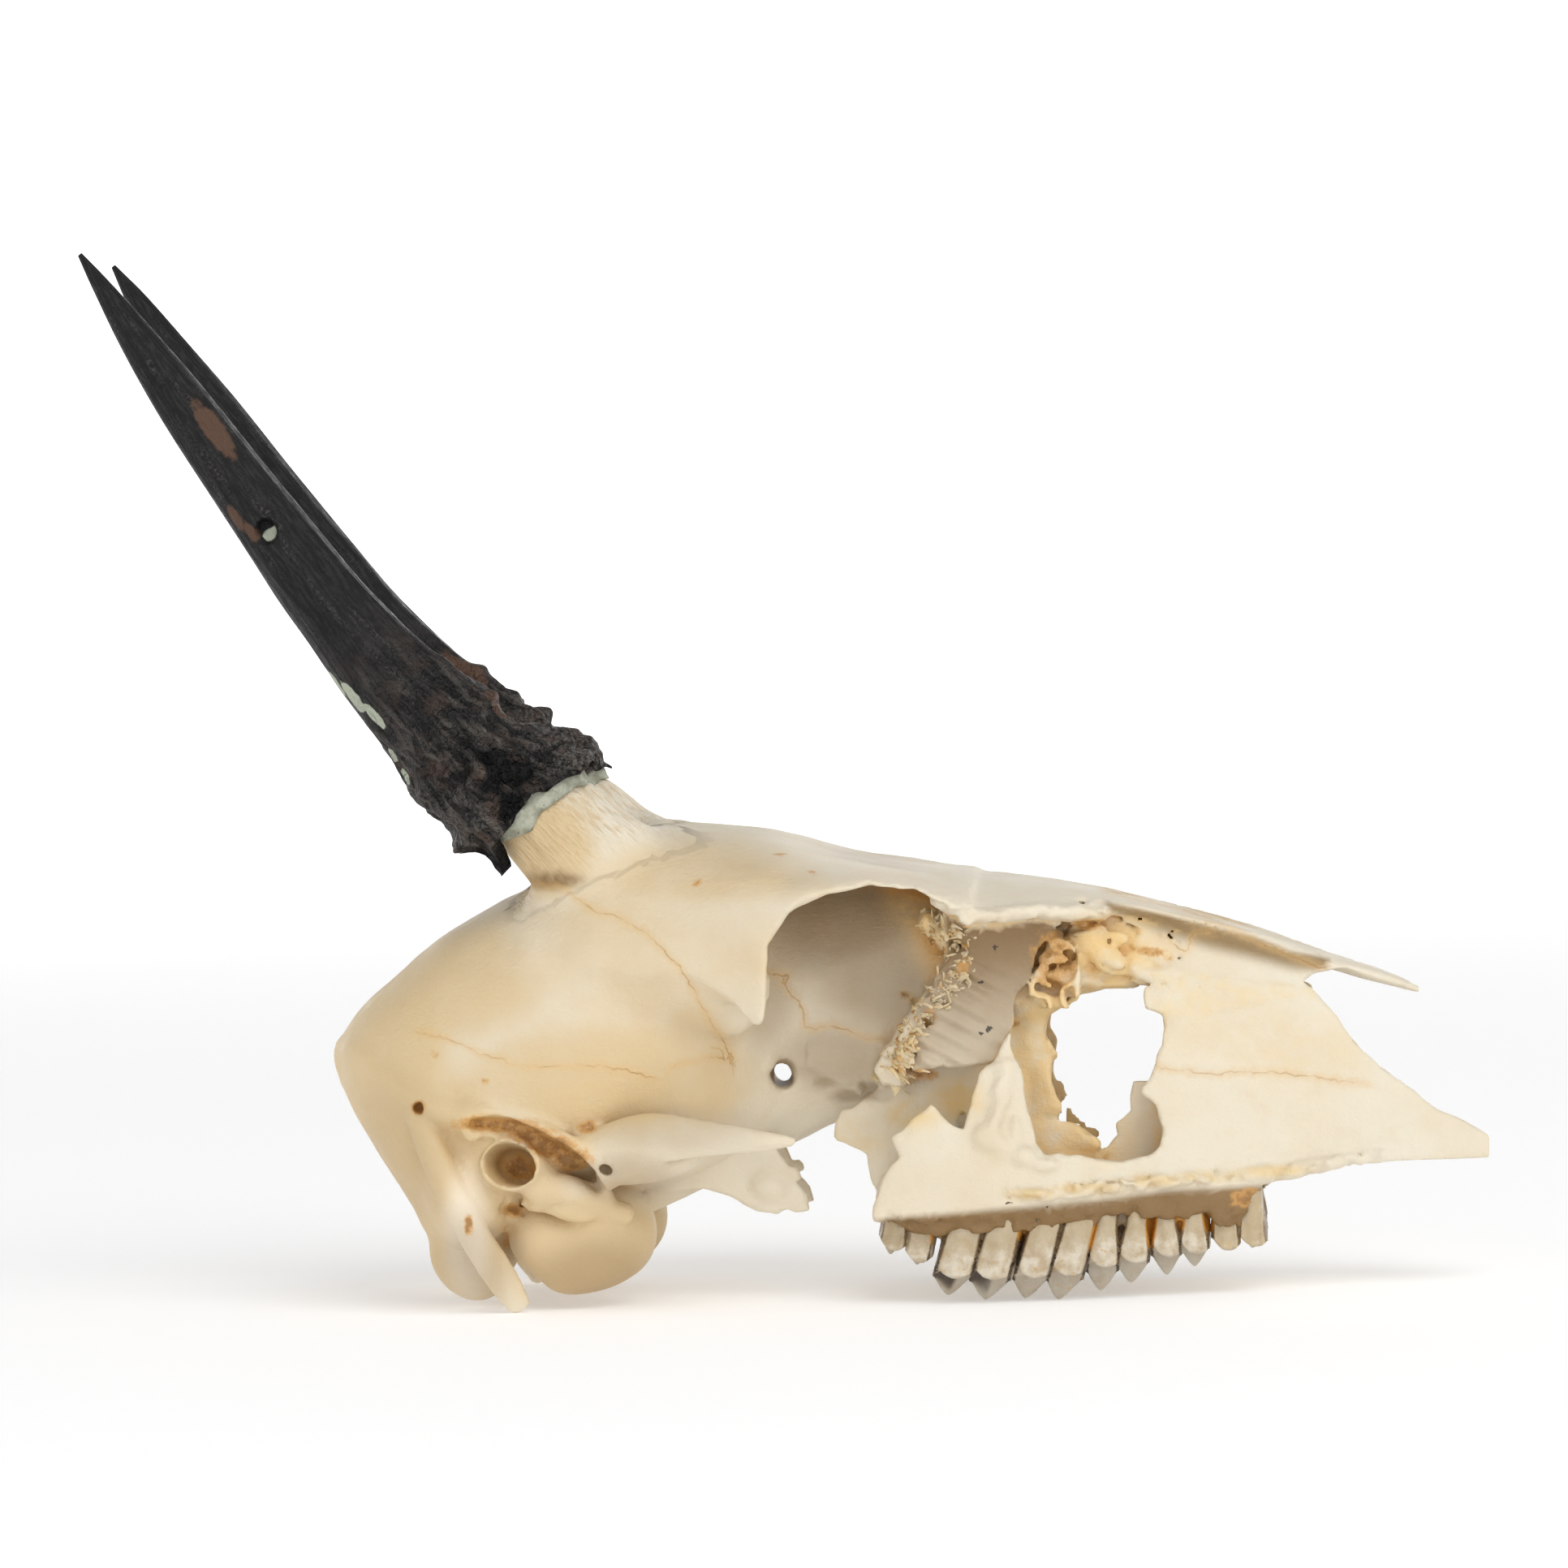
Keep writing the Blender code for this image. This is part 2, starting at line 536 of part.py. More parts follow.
def add_tooth_sockets(bm):
    """The bone that holds the teeth, under the face's ridge."""
    xs = [14.2, 20.0, 31.0, 43.0, 57.0, 68.2]
    widths = [4.2, 5.0, 5.0, 4.6, 3.6, 2.8]
    top = SOCKET_TOP + 1.6
    for side in SIDES.values():
        path = [(x, side * between(TOOTH_ROW, x), (between(GUM_LINE, x) + top) / 2) for x in xs]
        sizes = [(w, (top - between(GUM_LINE, x)) / 2) for w, x in zip(widths, xs)]
        add_tube(bm, path, sizes)


def face_halves(inset):
    """Half sections of the face or, inset, of the hollow inside it."""
    xs = spline([[x] for x, _ in FACE], 4)[:, 0]
    halves = []
    for x, row in zip(xs, spline([row for _, row in FACE], 4)):
        row = row.copy()
        if inset:
            row[0:2, 1] -= inset
            row[2] -= (inset * 1.5, inset * 1.2)
            row[3:6, 0] -= inset
            floor = row[8, 1] + PALATE_THICKNESS
            row[6] = (row[6, 0] - 3.4 * inset, floor + 2.0)
            row[7] = (row[7, 0] - 3.6 * inset, floor)
            row[8] = (0.0, floor)
            row[:, 0] = np.maximum(row[:, 0], 0.8)
            row[0, 0] = row[8, 0] = 0.0
        halves.append(spline(row, 3))
        halves[-1][:, 0] = np.maximum(halves[-1][:, 0], 0.0)
    return xs, halves


def face_object():
    """The hollow face and the brow, with every opening of the side and the front."""
    bm = bmesh.new()
    add_hull(bm, *face_halves(0.0))
    add_sheet(bm, FRONTAL_SHIELD, SHIELD_THICKNESS)
    face = finish(bm, "face")
    remesh(face)
    boolean(face, nose_hollow())
    boolean(face, side_openings())
    bake_modifiers(face)
    return face


def nose_hollow():
    bm = bmesh.new()
    xs, halves = face_halves(FACE_WALL)
    kept = [(x, half) for x, half in zip(xs, halves) if CAVITY_FROM <= x <= CAVITY_TO]
    add_hull(bm, [x for x, _ in kept], [half for _, half in kept])
    add_prism(bm, NOSE_OUTLINE, -OUT, OUT)
    add_prism(bm, THROAT_OUTLINE, -INNER_WALL_Y, INNER_WALL_Y)
    for side in SIDES.values():
        add_tube(bm, mirrored(PALATE_SLIT, side), [(1.0, 3.0), (1.6, 3.0), (1.7, 3.0), (1.2, 3.0)])
    hollow = finish(bm, "nose hollow")
    remesh(hollow)
    return as_cutter(hollow)


def side_openings():
    bm = bmesh.new()
    for name, side in SIDES.items():
        add_side_prism(bm, ORBIT_OUTLINE, side, -0.5, OUT)
        add_side_prism(bm, GAP_OUTLINE, side, INNER_WALL_Y + INNER_WALL_THICKNESS, OUT)
        add_side_prism(bm, CHEEK_OUTLINE[name], side, INNER_WALL_Y + INNER_WALL_THICKNESS, OUT)
    openings = finish(bm, "side openings")
    remesh(openings)
    return as_cutter(openings)


def small_openings():
    """The great hole at the back, the ear canals and the nerve channel that crosses the head."""
    bm = bmesh.new()
    great_hole = [(-66.0, 0, 11.0), (-55.0, 0, 15.6), (-44.0, 0, 21.5), (-34.0, 0, 28.0)]
    add_tube(bm, great_hole, [(7.8, 6.8), (8.2, 7.2), (8.8, 8.2), (9.8, 9.4)], steps=1, count=12)
    channel = [
        (1.0, -22.0, 34.4), (-0.7, -8.0, 34.2), (-1.3, 0.0, 34.0), (-1.4, 8.0, 33.9), (0.4, 22.0, 34.4),
    ]
    add_tube(bm, channel, [(3.0, 3.2), (1.7, 1.9), (1.7, 1.9), (1.7, 1.9), (3.0, 3.2)], steps=1, count=8)
    for side in SIDES.values():
        canal = mirrored([(-37.0, 21.0, 22.0), (-39.3, 26.4, 23.6), (-41.4, 30.4, 24.6)], side)
        add_tube(bm, canal, [(2.6, 2.4), (2.9, 2.6), (3.2, 2.8)], steps=1, count=10)
    return as_cutter(finish(bm, "small openings"))


def socket_cutter():
    """Slots for the tooth roots, one on each side."""
    bm = bmesh.new()
    for side in SIDES.values():
        for tooth in TEETH:
            add_rings(bm, root_rings(tooth, side, SEAT_GAP))
    return as_cutter(finish(bm, "tooth sockets"))


def foot_cutter():
    """Trims the process tips to the surface that the skull stands on."""
    bm = bmesh.new()
    add_prism(bm, [(-110.0, GROUND), (110.0, GROUND), (110.0, -20.0), (-110.0, -20.0)], -OUT, OUT)
    return as_cutter(finish(bm, "ground"))


def cranium():
    face = face_object()
    bm = bmesh.new()
    bm.from_mesh(face.data)
    bmesh.ops.scale(bm, vec=(1 / MM,) * 3, verts=bm.verts)
    bpy.data.objects.remove(face)
    for add in (
        add_braincase,
        add_brow_web,
        add_horn_cores,
        add_occiput,
        add_ear,
        add_cheek_arch,
        add_skull_base,
        add_inner_walls,
        add_scrolls,
        add_nasal_tips,
        add_tooth_sockets,
    ):
        add(bm)
    bone = finish(bm, "cranium")
    remesh(bone)
    soften(bone, 3)
    bake_modifiers(bone)
    keep_largest(bone)
    thin_out(bone, CRANIUM_TRIANGLES)
    boolean(bone, small_openings())
    boolean(bone, socket_cutter())
    boolean(bone, foot_cutter())
    return bone


def keep_largest(obj):
    """Removes every loose crumb and closed bubble beside the largest body."""
    bm = bmesh.new()
    bm.from_mesh(obj.data)
    bodies, seen = [], set()
    for start in bm.verts:
        if start in seen:
            continue
        body, waiting = [], [start]
        seen.add(start)
        while waiting:
            vert = waiting.pop()
            body.append(vert)
            for edge in vert.link_edges:
                other = edge.other_vert(vert)
                if other not in seen:
                    seen.add(other)
                    waiting.append(other)
        bodies.append(body)
    largest = max(bodies, key=len)
    for body in bodies:
        if body is not largest:
            bmesh.ops.delete(bm, geom=body, context="VERTS")
    bm.to_mesh(obj.data)
    bm.free()


def thin_out(obj, triangles):
    now = sum(len(p.vertices) - 2 for p in obj.data.polygons)
    fewer = obj.modifiers.new("fewer faces", "DECIMATE")
    fewer.ratio = triangles / now
    fewer.use_collapse_triangulate = True
    bake_modifiers(obj)


def sheath(name, side):
    """A hollow horn sheath, open at its foot."""
    bm = bmesh.new()
    add_rings(bm, horn_rings(side, HORN_STATIONS))
    horn = finish(bm, f"horn_sheath_{name}")
    bm = bmesh.new()
    add_rings(bm, horn_rings(side, CORE_STATIONS, SEAT_GAP))
    boolean(horn, as_cutter(finish(bm, f"sheath hollow {name}")))
    bm = bmesh.new()
    start, *middle, end = BEDDING_STATIONS
    mouth = [(start[0] - 0.4, *start[1:]), *middle, (end[0] + 1.6, end[1] + 0.3, end[2] + 0.3)]
    add_rings(bm, horn_rings(side, mouth, SEAT_GAP))
    if side == RIGHT:
        tip, along, forwards, sideways = horn_frame(side)
        centre = tip + along * DRILL_HOLE_AT + forwards * DRILL_HOLE_OFFSET
        outwards = sideways * (1 if sideways.y * side > 0 else -1)
        add_tube(bm, [centre, centre + outwards * 4, centre + outwards * 9], [(DRILL_HOLE_RADIUS,) * 2] * 3)
    boolean(horn, as_cutter(finish(bm, f"sheath mouth {name}")))
    return horn


def bedding(name, side):
    """The ring of filler between a sheath's foot and its bone core."""
    bm = bmesh.new()
    add_rings(bm, horn_rings(side, BEDDING_STATIONS))
    ring = finish(bm, f"horn_bedding_{name}")
    bm = bmesh.new()
    add_rings(bm, horn_rings(side, CORE_STATIONS, grow=SEAT_GAP))
    boolean(ring, as_cutter(finish(bm, f"core clearance {name}")))
    return ring


def root_rings(tooth, side, grow=0.0):
    """A tooth's root: a block with round corners, from inside the socket down to below the gum line."""
    _, back, front, width, *_ = tooth
    middle, half = (back + front) / 2, (front - back) / 2
    gum = between(GUM_LINE, middle)
    rings = []
    for level, share in ((SOCKET_TOP + grow, ROOT_SHARE), (gum - 1.2 - 4 * grow, ROOT_SHARE + 0.1)):
        rings.append(block_ring(middle, side, level, half * 0.93 + grow, width / 2 * share + grow, 8))
    return rings


def block_ring(middle, side, level, half_length, half_width, count=12):
    """A rounded rectangle laid along the tooth row."""
    slope = (between(TOOTH_ROW, middle + 1) - between(TOOTH_ROW, middle - 1)) / 2
    centre_y = between(TOOTH_ROW, middle)
    ring = []
    for turn in np.arange(count) / count * math.tau:
        along = math.copysign(abs(math.cos(turn)) ** 0.6, math.cos(turn)) * half_length
        across = math.copysign(abs(math.sin(turn)) ** 0.6, math.sin(turn)) * half_width
        ring.append((middle + along, side * (centre_y + slope * along + across), level))
    return ring


def tooth(entry, name, side):
    """One cheek tooth: a root block in its socket and a crown of one or two ridged lobes with low cusps."""
    kind, back, front, width, lobes, walls, cusps = entry
    bm = bmesh.new()
    add_rings(bm, root_rings(entry, side))
    length = (front - back) / lobes
    gum = between(GUM_LINE, (back + front) / 2)
    for i in range(lobes):
        middle = back + length * (i + 0.5)
        wall, cusp = walls[i], cusps[i]
        half = length / 2
        rings = [
            block_ring(middle, side, gum - 0.5, half * 0.9, width * 0.42),
            block_ring(middle, side, (gum + wall) / 2, half * 0.97, width * 0.48),
            block_ring(middle, side, wall, half, width * 0.5),
        ]
        top = block_ring(middle, side, cusp, half * 0.12, width * 0.3)
        rings.append([(x, y, cusp) for x, y, _ in top])
        add_rings(bm, rings)
    made = finish(bm, f"{kind}_{name}")
    remesh(made, 0.45)
    bake_modifiers(made)
    keep_largest(made)
    thin_out(made, 70 * lobes + 20)
    return made


def main():
    clear_scene()
    bone, horn, filler, enamel = (material(slot) for slot in ("bone", "horn", "bedding", "enamel"))
    pieces = [(cranium(), bone)]
    for name, side in SIDES.items():
        pieces.append((sheath(name, side), horn))
        pieces.append((bedding(name, side), filler))
        pieces.extend((tooth(entry, name, side), enamel) for entry in TEETH)
    for obj in bpy.data.objects:
        obj.location = DRAWN_FROM * MM
    for obj, look in pieces:
        obj.data.materials.clear()
        obj.data.materials.append(look)
        obj.data.shade_smooth()
        obj.data.set_sharp_from_angle(angle=math.radians(40))


main()
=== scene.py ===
"""The looks of a common duiker's skull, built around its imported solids.

Bone is carved on grids of signed distances, in millimetres, and then turned into meshes in metres.
Lengths are in the drawing's own frame, which DRAWN_FROM places in the model's. The skull faces +X and its
right is -Y.
"""

import functools
import itertools
import math

import bmesh
import bpy
import numpy as np
import openvdb
from mathutils import Matrix, Vector


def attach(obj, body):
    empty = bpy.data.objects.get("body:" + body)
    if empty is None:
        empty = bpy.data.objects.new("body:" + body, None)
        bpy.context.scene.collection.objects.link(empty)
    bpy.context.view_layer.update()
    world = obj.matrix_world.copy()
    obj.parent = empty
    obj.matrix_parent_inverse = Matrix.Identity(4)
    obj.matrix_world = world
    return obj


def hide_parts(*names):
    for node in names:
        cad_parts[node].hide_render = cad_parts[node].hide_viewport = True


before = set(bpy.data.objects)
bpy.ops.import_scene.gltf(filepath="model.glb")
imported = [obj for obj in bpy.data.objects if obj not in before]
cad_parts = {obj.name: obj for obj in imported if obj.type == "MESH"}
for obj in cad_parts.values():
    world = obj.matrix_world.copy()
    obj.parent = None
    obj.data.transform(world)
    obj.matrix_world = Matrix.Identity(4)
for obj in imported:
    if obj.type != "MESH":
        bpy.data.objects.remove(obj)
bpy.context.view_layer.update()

MM = 0.001
RIGHT, LEFT = -1, 1
SIDES = {"right": RIGHT, "left": LEFT}
DRAWN_FROM = np.array((-1.1, 0.0, -1.6))
GROUND = -DRAWN_FROM[2]
OUT = 45.0  # further from the middle plane than any bone
REACH = 4.0  # distances are kept this far from a surface
SLANT = 4.0  # the line of sight moves an outline less than this across the head
BONE_STEP, TOOTH_STEP = 0.5, 0.24
BONE_TRIANGLES, TOOTH_TRIANGLES = 196000, 9000

# The photograph's camera, in the drawing's frame
EYE_TURN, EYE_LIFT, EYE_ROLL = 3.0, 2.5, -1.383
EYE_DISTANCE = 1250.0
EYE_TARGET = np.array((0.0, 0.0, 76.0))
SENSOR, LENS = 36.0, 197.05

# Horns. A station is its distance from the tip, its centre's offset forwards and its half width
HORN_TIP = {RIGHT: Vector((-98.7, -17.0, 155.2)), LEFT: Vector((-98.3, 17.0, 154.0))}
HORN_FOOT = {RIGHT: Vector((-33.6, -14.2, 72.3)), LEFT: Vector((-33.6, 14.2, 72.3))}
HORN_STATIONS = [
    (0.0, 0.0, 0.35), (6.0, -0.6, 1.5), (14.2, -1.4, 2.6), (26.0, -2.3, 3.8), (41.0, -3.4, 4.6),
    (53.4, -4.1, 5.3), (65.0, -4.5, 5.9), (75.8, -4.3, 7.0), (83.6, -3.5, 7.8), (90.4, -3.0, 8.8),
    (97.4, -2.3, 9.7), (103.2, -1.3, 10.4), (108.0, -0.8, 10.8),
]
HORN_FLATNESS = 0.88
CORE_STATIONS = [
    (74.0, -3.5, 4.8), (88.5, -2.2, 6.0), (98.5, -1.1, 6.7), (103.4, -0.2, 7.6), (106.0, 0.3, 8.2),
    (110.5, 0.7, 8.6), (115.5, 1.2, 9.0), (122.0, 1.6, 7.0),
]
# Where a sheath's torn mouth is and where its filler ends, as (angle from the front, distance from the tip)
MOUTH = {
    RIGHT: [
        (0, 103.8), (41, 102.9), (60, 102.7), (75, 101.3), (85, 101.7), (102, 102.6), (118, 103.0),
        (131, 103.8), (141, 105.6), (149, 108.0), (154, 105.4), (160, 102.0), (180, 100.6), (225, 102.6),
        (270, 103.4), (320, 102.6),
    ],
    LEFT: [
        (0, 104.0), (30, 103.4), (60, 102.4), (100, 103.6), (140, 102.0), (180, 103.0), (215, 104.2),
        (250, 102.0), (290, 103.2), (330, 102.6),
    ],
}
FILLER_END = [
    (0, 104.8), (32, 104.9), (62, 104.2), (88, 104.3), (106, 105.3), (116, 104.8), (150, 103.6),
    (200, 104.4), (250, 104.9), (300, 104.2),
]
DRILL_HOLE_AT, DRILL_HOLE_ANGLE, DRILL_HOLE_RADIUS, DRILL_HOLE_DEPTH = 47.8, 96.0, 1.7, 1.7

# Braincase and the narrow body between the orbits: x, top, bottom, half width, height of the widest level
BRAINCASE = [
    (-65.6, 40.5, 33.5, 6.0, 37.0), (-62.2, 45.0, 27.5, 15.5, 35.0), (-56.0, 50.3, 18.0, 21.5, 33.0),
    (-48.0, 56.4, 14.5, 24.6, 34.0), (-38.6, 61.2, 14.0, 26.4, 37.0), (-29.0, 63.6, 15.5, 26.6, 39.0),
    (-19.0, 64.4, 17.5, 24.6, 41.0), (-10.0, 63.6, 20.5, 19.8, 43.0), (-3.0, 62.4, 24.8, 13.2, 45.0),
    (3.0, 60.0, 29.0, 8.0, 46.0),
]
ORBIT_BODY = [
    (-14.0, 63.8, 21.0, 18.0, 44.0), (-4.0, 64.5, 24.8, 12.4, 45.0), (5.0, 64.0, 27.6, 10.2, 46.0),
    (13.0, 62.6, 29.6, 9.6, 47.0), (21.0, 61.4, 34.6, 10.4, 48.0), (29.0, 60.0, 36.0, 12.0, 49.0),
    (36.0, 58.0, 42.0, 12.0, 50.0), (40.0, 56.5, 47.0, 9.5, 51.5),
]

# Frontal shield, from the horns to the brow: x, then (y, z) from the middle to the free edge, top surface
SHIELD_THICKNESS = 2.0
FRONTAL_SHIELD = [
    (-36.0, [(0.0, 62.0), (9.0, 61.6), (15.0, 59.4), (19.0, 56.4), (21.5, 52.8)]),
    (-28.0, [(0.0, 66.4), (9.0, 67.2), (17.0, 64.8), (22.5, 59.6), (24.8, 52.4)]),
    (-20.0, [(0.0, 69.2), (9.0, 70.8), (17.5, 67.8), (24.0, 61.4), (26.4, 51.0)]),
    (-12.8, [(0.0, 69.6), (9.0, 70.2), (18.5, 67.6), (26.5, 61.4), (28.4, 51.2)]),
    (-6.6, [(0.0, 69.2), (9.0, 69.6), (19.5, 67.2), (29.4, 61.4), (31.2, 46.6)]),
    (-2.0, [(0.0, 68.5), (9.0, 69.0), (20.5, 66.8), (31.2, 61.6), (33.4, 43.8)]),
    (1.8, [(0.0, 67.4), (9.0, 68.0), (21.0, 66.4), (31.2, 62.9), (34.0, 59.0)]),
    (7.0, [(0.0, 65.8), (9.0, 66.4), (21.0, 65.4), (30.5, 63.6), (33.8, 62.0)]),
    (13.4, [(0.0, 64.3), (9.0, 64.8), (20.5, 64.4), (29.0, 63.5), (32.6, 62.5)]),
    (20.6, [(0.0, 63.3), (9.0, 63.5), (18.5, 63.1), (26.0, 62.2), (29.8, 61.2)]),
    (27.4, [(0.0, 62.6), (8.5, 62.6), (15.5, 61.8), (22.0, 60.4), (26.2, 58.0)]),
]

# Face: x, then the (y, z) half section: middle of the roof, shoulder, edge, tuck, upper wall, lower wall,
# ridge, foot, palate
FACE = [
    (9.0, [(0, 64.8), (16, 64.0), (31.0, 61.8), (30, 59.8), (23, 46.0), (21.0, 30.0), (22.0, 16.9),
     (20.5, 13.8), (0, 17.0)]),
    (20.0, [(0, 63.2), (15, 62.6), (28.0, 60.4), (26, 58.0), (21, 46.0), (21.2, 31.0), (22.8, 16.9),
     (20.8, 13.8), (0, 17.2)]),
    (30.0, [(0, 62.2), (12, 61.7), (23.6, 58.0), (20.6, 55.4), (18.2, 46.0), (19.8, 32.0), (22.6, 17.0),
     (20.0, 14.0), (0, 17.6)]),
    (40.0, [(0, 60.8), (10, 60.4), (18.2, 58.2), (15.6, 55.4), (15.4, 46.0), (17.4, 33.0), (20.8, 17.4),
     (18.2, 14.6), (0, 18.0)]),
    (50.0, [(0, 58.7), (7.5, 58.6), (13.2, 57.9), (11.8, 55.0), (13.2, 46.0), (15.2, 33.0),
     (18.6, 17.8), (16.2, 15.2), (0, 18.2)]),
    (60.0, [(0, 55.6), (6.5, 55.6), (11.0, 55.0), (9.6, 51.8), (11.2, 45.0), (13.0, 33.0), (15.6, 18.4),
     (13.6, 16.2), (0, 18.4)]),
    (70.0, [(0, 52.5), (5.2, 52.4), (8.8, 51.7), (7.6, 48.8), (9.2, 43.2), (10.8, 32.0), (12.4, 19.4),
     (10.8, 17.6), (0, 19.0)]),
    (79.0, [(0, 49.4), (4.0, 49.3), (6.6, 48.5), (6.2, 46.0), (7.6, 40.6), (8.8, 30.0), (9.8, 20.6),
     (8.6, 19.2), (0, 19.6)]),
    (88.5, [(0, 46.2), (1.8, 46.1), (3.2, 45.4), (4.2, 42.4), (6.2, 36.4), (7.2, 28.4), (8.0, 21.2),
     (7.2, 19.8), (0, 20.2)]),
    (101.2, [(0, 40.0), (1.2, 40.0), (2.2, 39.0), (3.2, 36.0), (4.4, 30.0), (5.4, 25.2), (5.8, 21.0),
     (5.2, 19.9), (0, 20.2)]),
]
FACE_WALL, PALATE_THICKNESS = 1.3, 1.7
CAVITY_FROM, CAVITY_TO = 14.0, 98.0
PALATE_SLIT = [(76.0, 3.6, 20.0), (82.0, 4.0, 20.0), (91.0, 3.6, 20.0), (97.0, 2.8, 20.0)]
PALATE_SLIT_SIZES = [(1.0, 3.0), (1.6, 3.0), (1.7, 3.0), (1.2, 3.0)]

# Side outlines, (x, z)
ORBIT_OUTLINE = [
    (-1.6, 42.0), (-1.6, 47.0), (-1.2, 54.5), (2.2, 59.0), (7.4, 61.6), (13.4, 62.6), (19.6, 61.6),
    (24.2, 59.4), (25.0, 55.8), (25.6, 50.4), (23.2, 46.0), (19.2, 40.4), (13.7, 35.2), (11.8, 8.0),
    (-8.0, 8.0), (-8.0, 38.5),
]
GAP_OUTLINE = [
    (8.6, 37.5), (16.4, 35.4), (24.6, 35.2), (30.0, 36.0), (28.0, 33.9), (26.6, 30.0), (25.6, 26.8),
    (23.6, 27.4), (21.0, 30.4), (18.8, 28.6), (17.0, 27.0), (14.7, 25.8), (16.0, 22.9), (13.8, 20.2),
    (11.6, 15.6), (9.8, 8.0), (5.0, 8.0),
]
FAR_CHEEK = [
    (45.0, 56.4), (50.2, 54.0), (54.6, 51.0), (54.6, 47.6), (57.0, 42.5), (56.6, 37.0), (55.0, 31.0),
    (52.4, 27.4), (50.0, 23.0), (47.4, 19.8), (41.6, 20.6), (36.8, 21.8), (35.0, 27.0), (33.8, 35.0),
    (33.0, 42.5), (36.4, 48.0), (38.4, 52.0),
]
NOSE_SEEN = [
    (75.0, 45.5), (76.2, 46.8), (80.3, 47.6), (84.6, 46.3), (90.3, 44.6), (91.2, 46.3), (104.4, 43.5),
    (104.4, 22.2), (101.5, 22.6), (99.8, 23.8), (97.1, 25.2), (94.2, 26.5), (90.7, 29.5), (85.7, 33.2),
    (80.9, 38.6), (77.0, 43.8),
]
INNER_WALL_OUTLINE = [
    (6.4, 24.6), (7.6, 29.0), (12.8, 31.4), (20.2, 36.4), (30.2, 39.8), (37.5, 42.8), (37.5, 39.2),
    (38.7, 36.6), (38.0, 32.2), (39.7, 29.6), (42.5, 25.0), (45.3, 21.8), (44.0, 18.2), (12.0, 18.2),
    (11.1, 22.2),
]
INNER_WALL_Y, INNER_WALL_THICKNESS = 8.4, 1.4
THROAT_OUTLINE = [(4.0, 8.0), (4.0, 33.5), (15.0, 34.5), (23.0, 31.0), (26.5, 25.0), (24.5, 8.0)]

# Teeth, back to front: name, start and end along the jaw, width, and the lowest levels of each lobe's outer
# wall and of its inner cusp
TEETH = [
    ("molar_3", 12.9, 20.4, 6.6, (9.6, 7.8), (8.6, 6.9)),
    ("molar_2", 20.9, 31.8, 8.8, (5.7, 5.3), (2.6, 1.8)),
    ("molar_1", 32.4, 42.3, 8.6, (5.3, 5.6), (1.9, 1.6)),
    ("premolar_4", 42.9, 51.6, 7.8, (6.5, 7.0), (2.6, 3.6)),
    ("premolar_3", 52.2, 60.3, 6.0, (7.6, 7.9), (4.6, 5.6)),
    ("premolar_2", 60.9, 68.6, 4.4, (8.2, 8.5), (7.8, 8.0)),
]
TOOTH_ROW = [
    (10.0, 15.8), (20.0, 17.0), (28.0, 17.2), (38.0, 16.4), (48.0, 14.7), (58.0, 12.8), (70.0, 10.7),
]
GUM_LINE = [
    (12.6, 13.2), (16.0, 12.1), (20.0, 11.3), (28.0, 11.5), (33.0, 12.0), (39.0, 12.0), (44.0, 12.5),
    (50.0, 12.9), (53.0, 13.2), (57.0, 13.0), (60.6, 13.2), (61.8, 10.9), (65.4, 10.9), (66.4, 15.6),
    (70.0, 16.9),
]
SOCKET_TOP = 17.4
ROOT_GAP, ROOT_TURNS = 0.3, 24


def spline(rows, steps):
    """A smooth curve through rows of numbers of any shape, with this many points for each span."""
    rows = np.asarray(rows, float)
    ends = np.concatenate([2 * rows[:1] - rows[1:2], rows, 2 * rows[-1:] - rows[-2:-1]])
    points = []
    for before, start, end, after in zip(ends, ends[1:], ends[2:], ends[3:]):
        for t in np.arange(steps) / steps:
            points.append(
                0.5
                * (
                    2 * start
                    + (end - before) * t
                    + (2 * before - 5 * start + 4 * end - after) * t**2
                    + (3 * start - before - 3 * end + after) * t**3
                )
            )
    points.append(rows[-1])
    return np.array(points)


def between(table, x):
    """Values read from (x, value) pairs."""
    xs, values = zip(*table)
    return np.interp(x, xs, values)


def around(table, degrees):
    """Values read from (angle, value) pairs that run once round."""
    angles, values = zip(*table)
    return np.interp(np.mod(degrees, 360.0), [*angles, angles[0] + 360.0], [*values, values[0]])


def eased(share):
    return share * share * (3 - 2 * share)


def ramp(value, start, end):
    """0 at start, 1 at end and smooth between them."""
    return eased(np.clip((value - start) / (end - start), 0.0, 1.0))


def fades(value, start, whole, ebb, end):
    """0 outside start to end and 1 between whole and ebb."""
    return ramp(value, start, whole) * (1 - ramp(value, ebb, end))


LATTICE = 32  # a noise repeats after this many of its bumps


def lattice(seed):
    return np.random.default_rng(seed).uniform(-1.0, 1.0, (LATTICE,) * 3).astype(np.float32)


def grid_noise(axes, size, seed):
    """Smooth noise from -1 to 1 over a grid with these three axes, with bumps of about this size."""
    noise = lattice(seed)
    for axis, places in enumerate(axes):
        low = np.floor(places / size).astype(int)
        share = (places / size - low).astype(np.float32)
        share = eased(share).reshape([-1 if i == axis else 1 for i in range(3)])
        here, after = (np.take(noise, (low + i) % LATTICE, axis) for i in (0, 1))
        noise = here * (1 - share) + after * share
    return noise


def noise_at(points, size, seed):
    """The same noise at single points."""
    noise = lattice(seed)
    low = np.floor(points / size).astype(int)
    share = eased(points / size - low)
    total = np.zeros(len(points))
    for corner in itertools.product((0, 1), repeat=3):
        weight = np.prod(np.where(corner, share, 1 - share), axis=1)
        total += weight * noise[tuple(((low + corner) % LATTICE).T)]
    return total


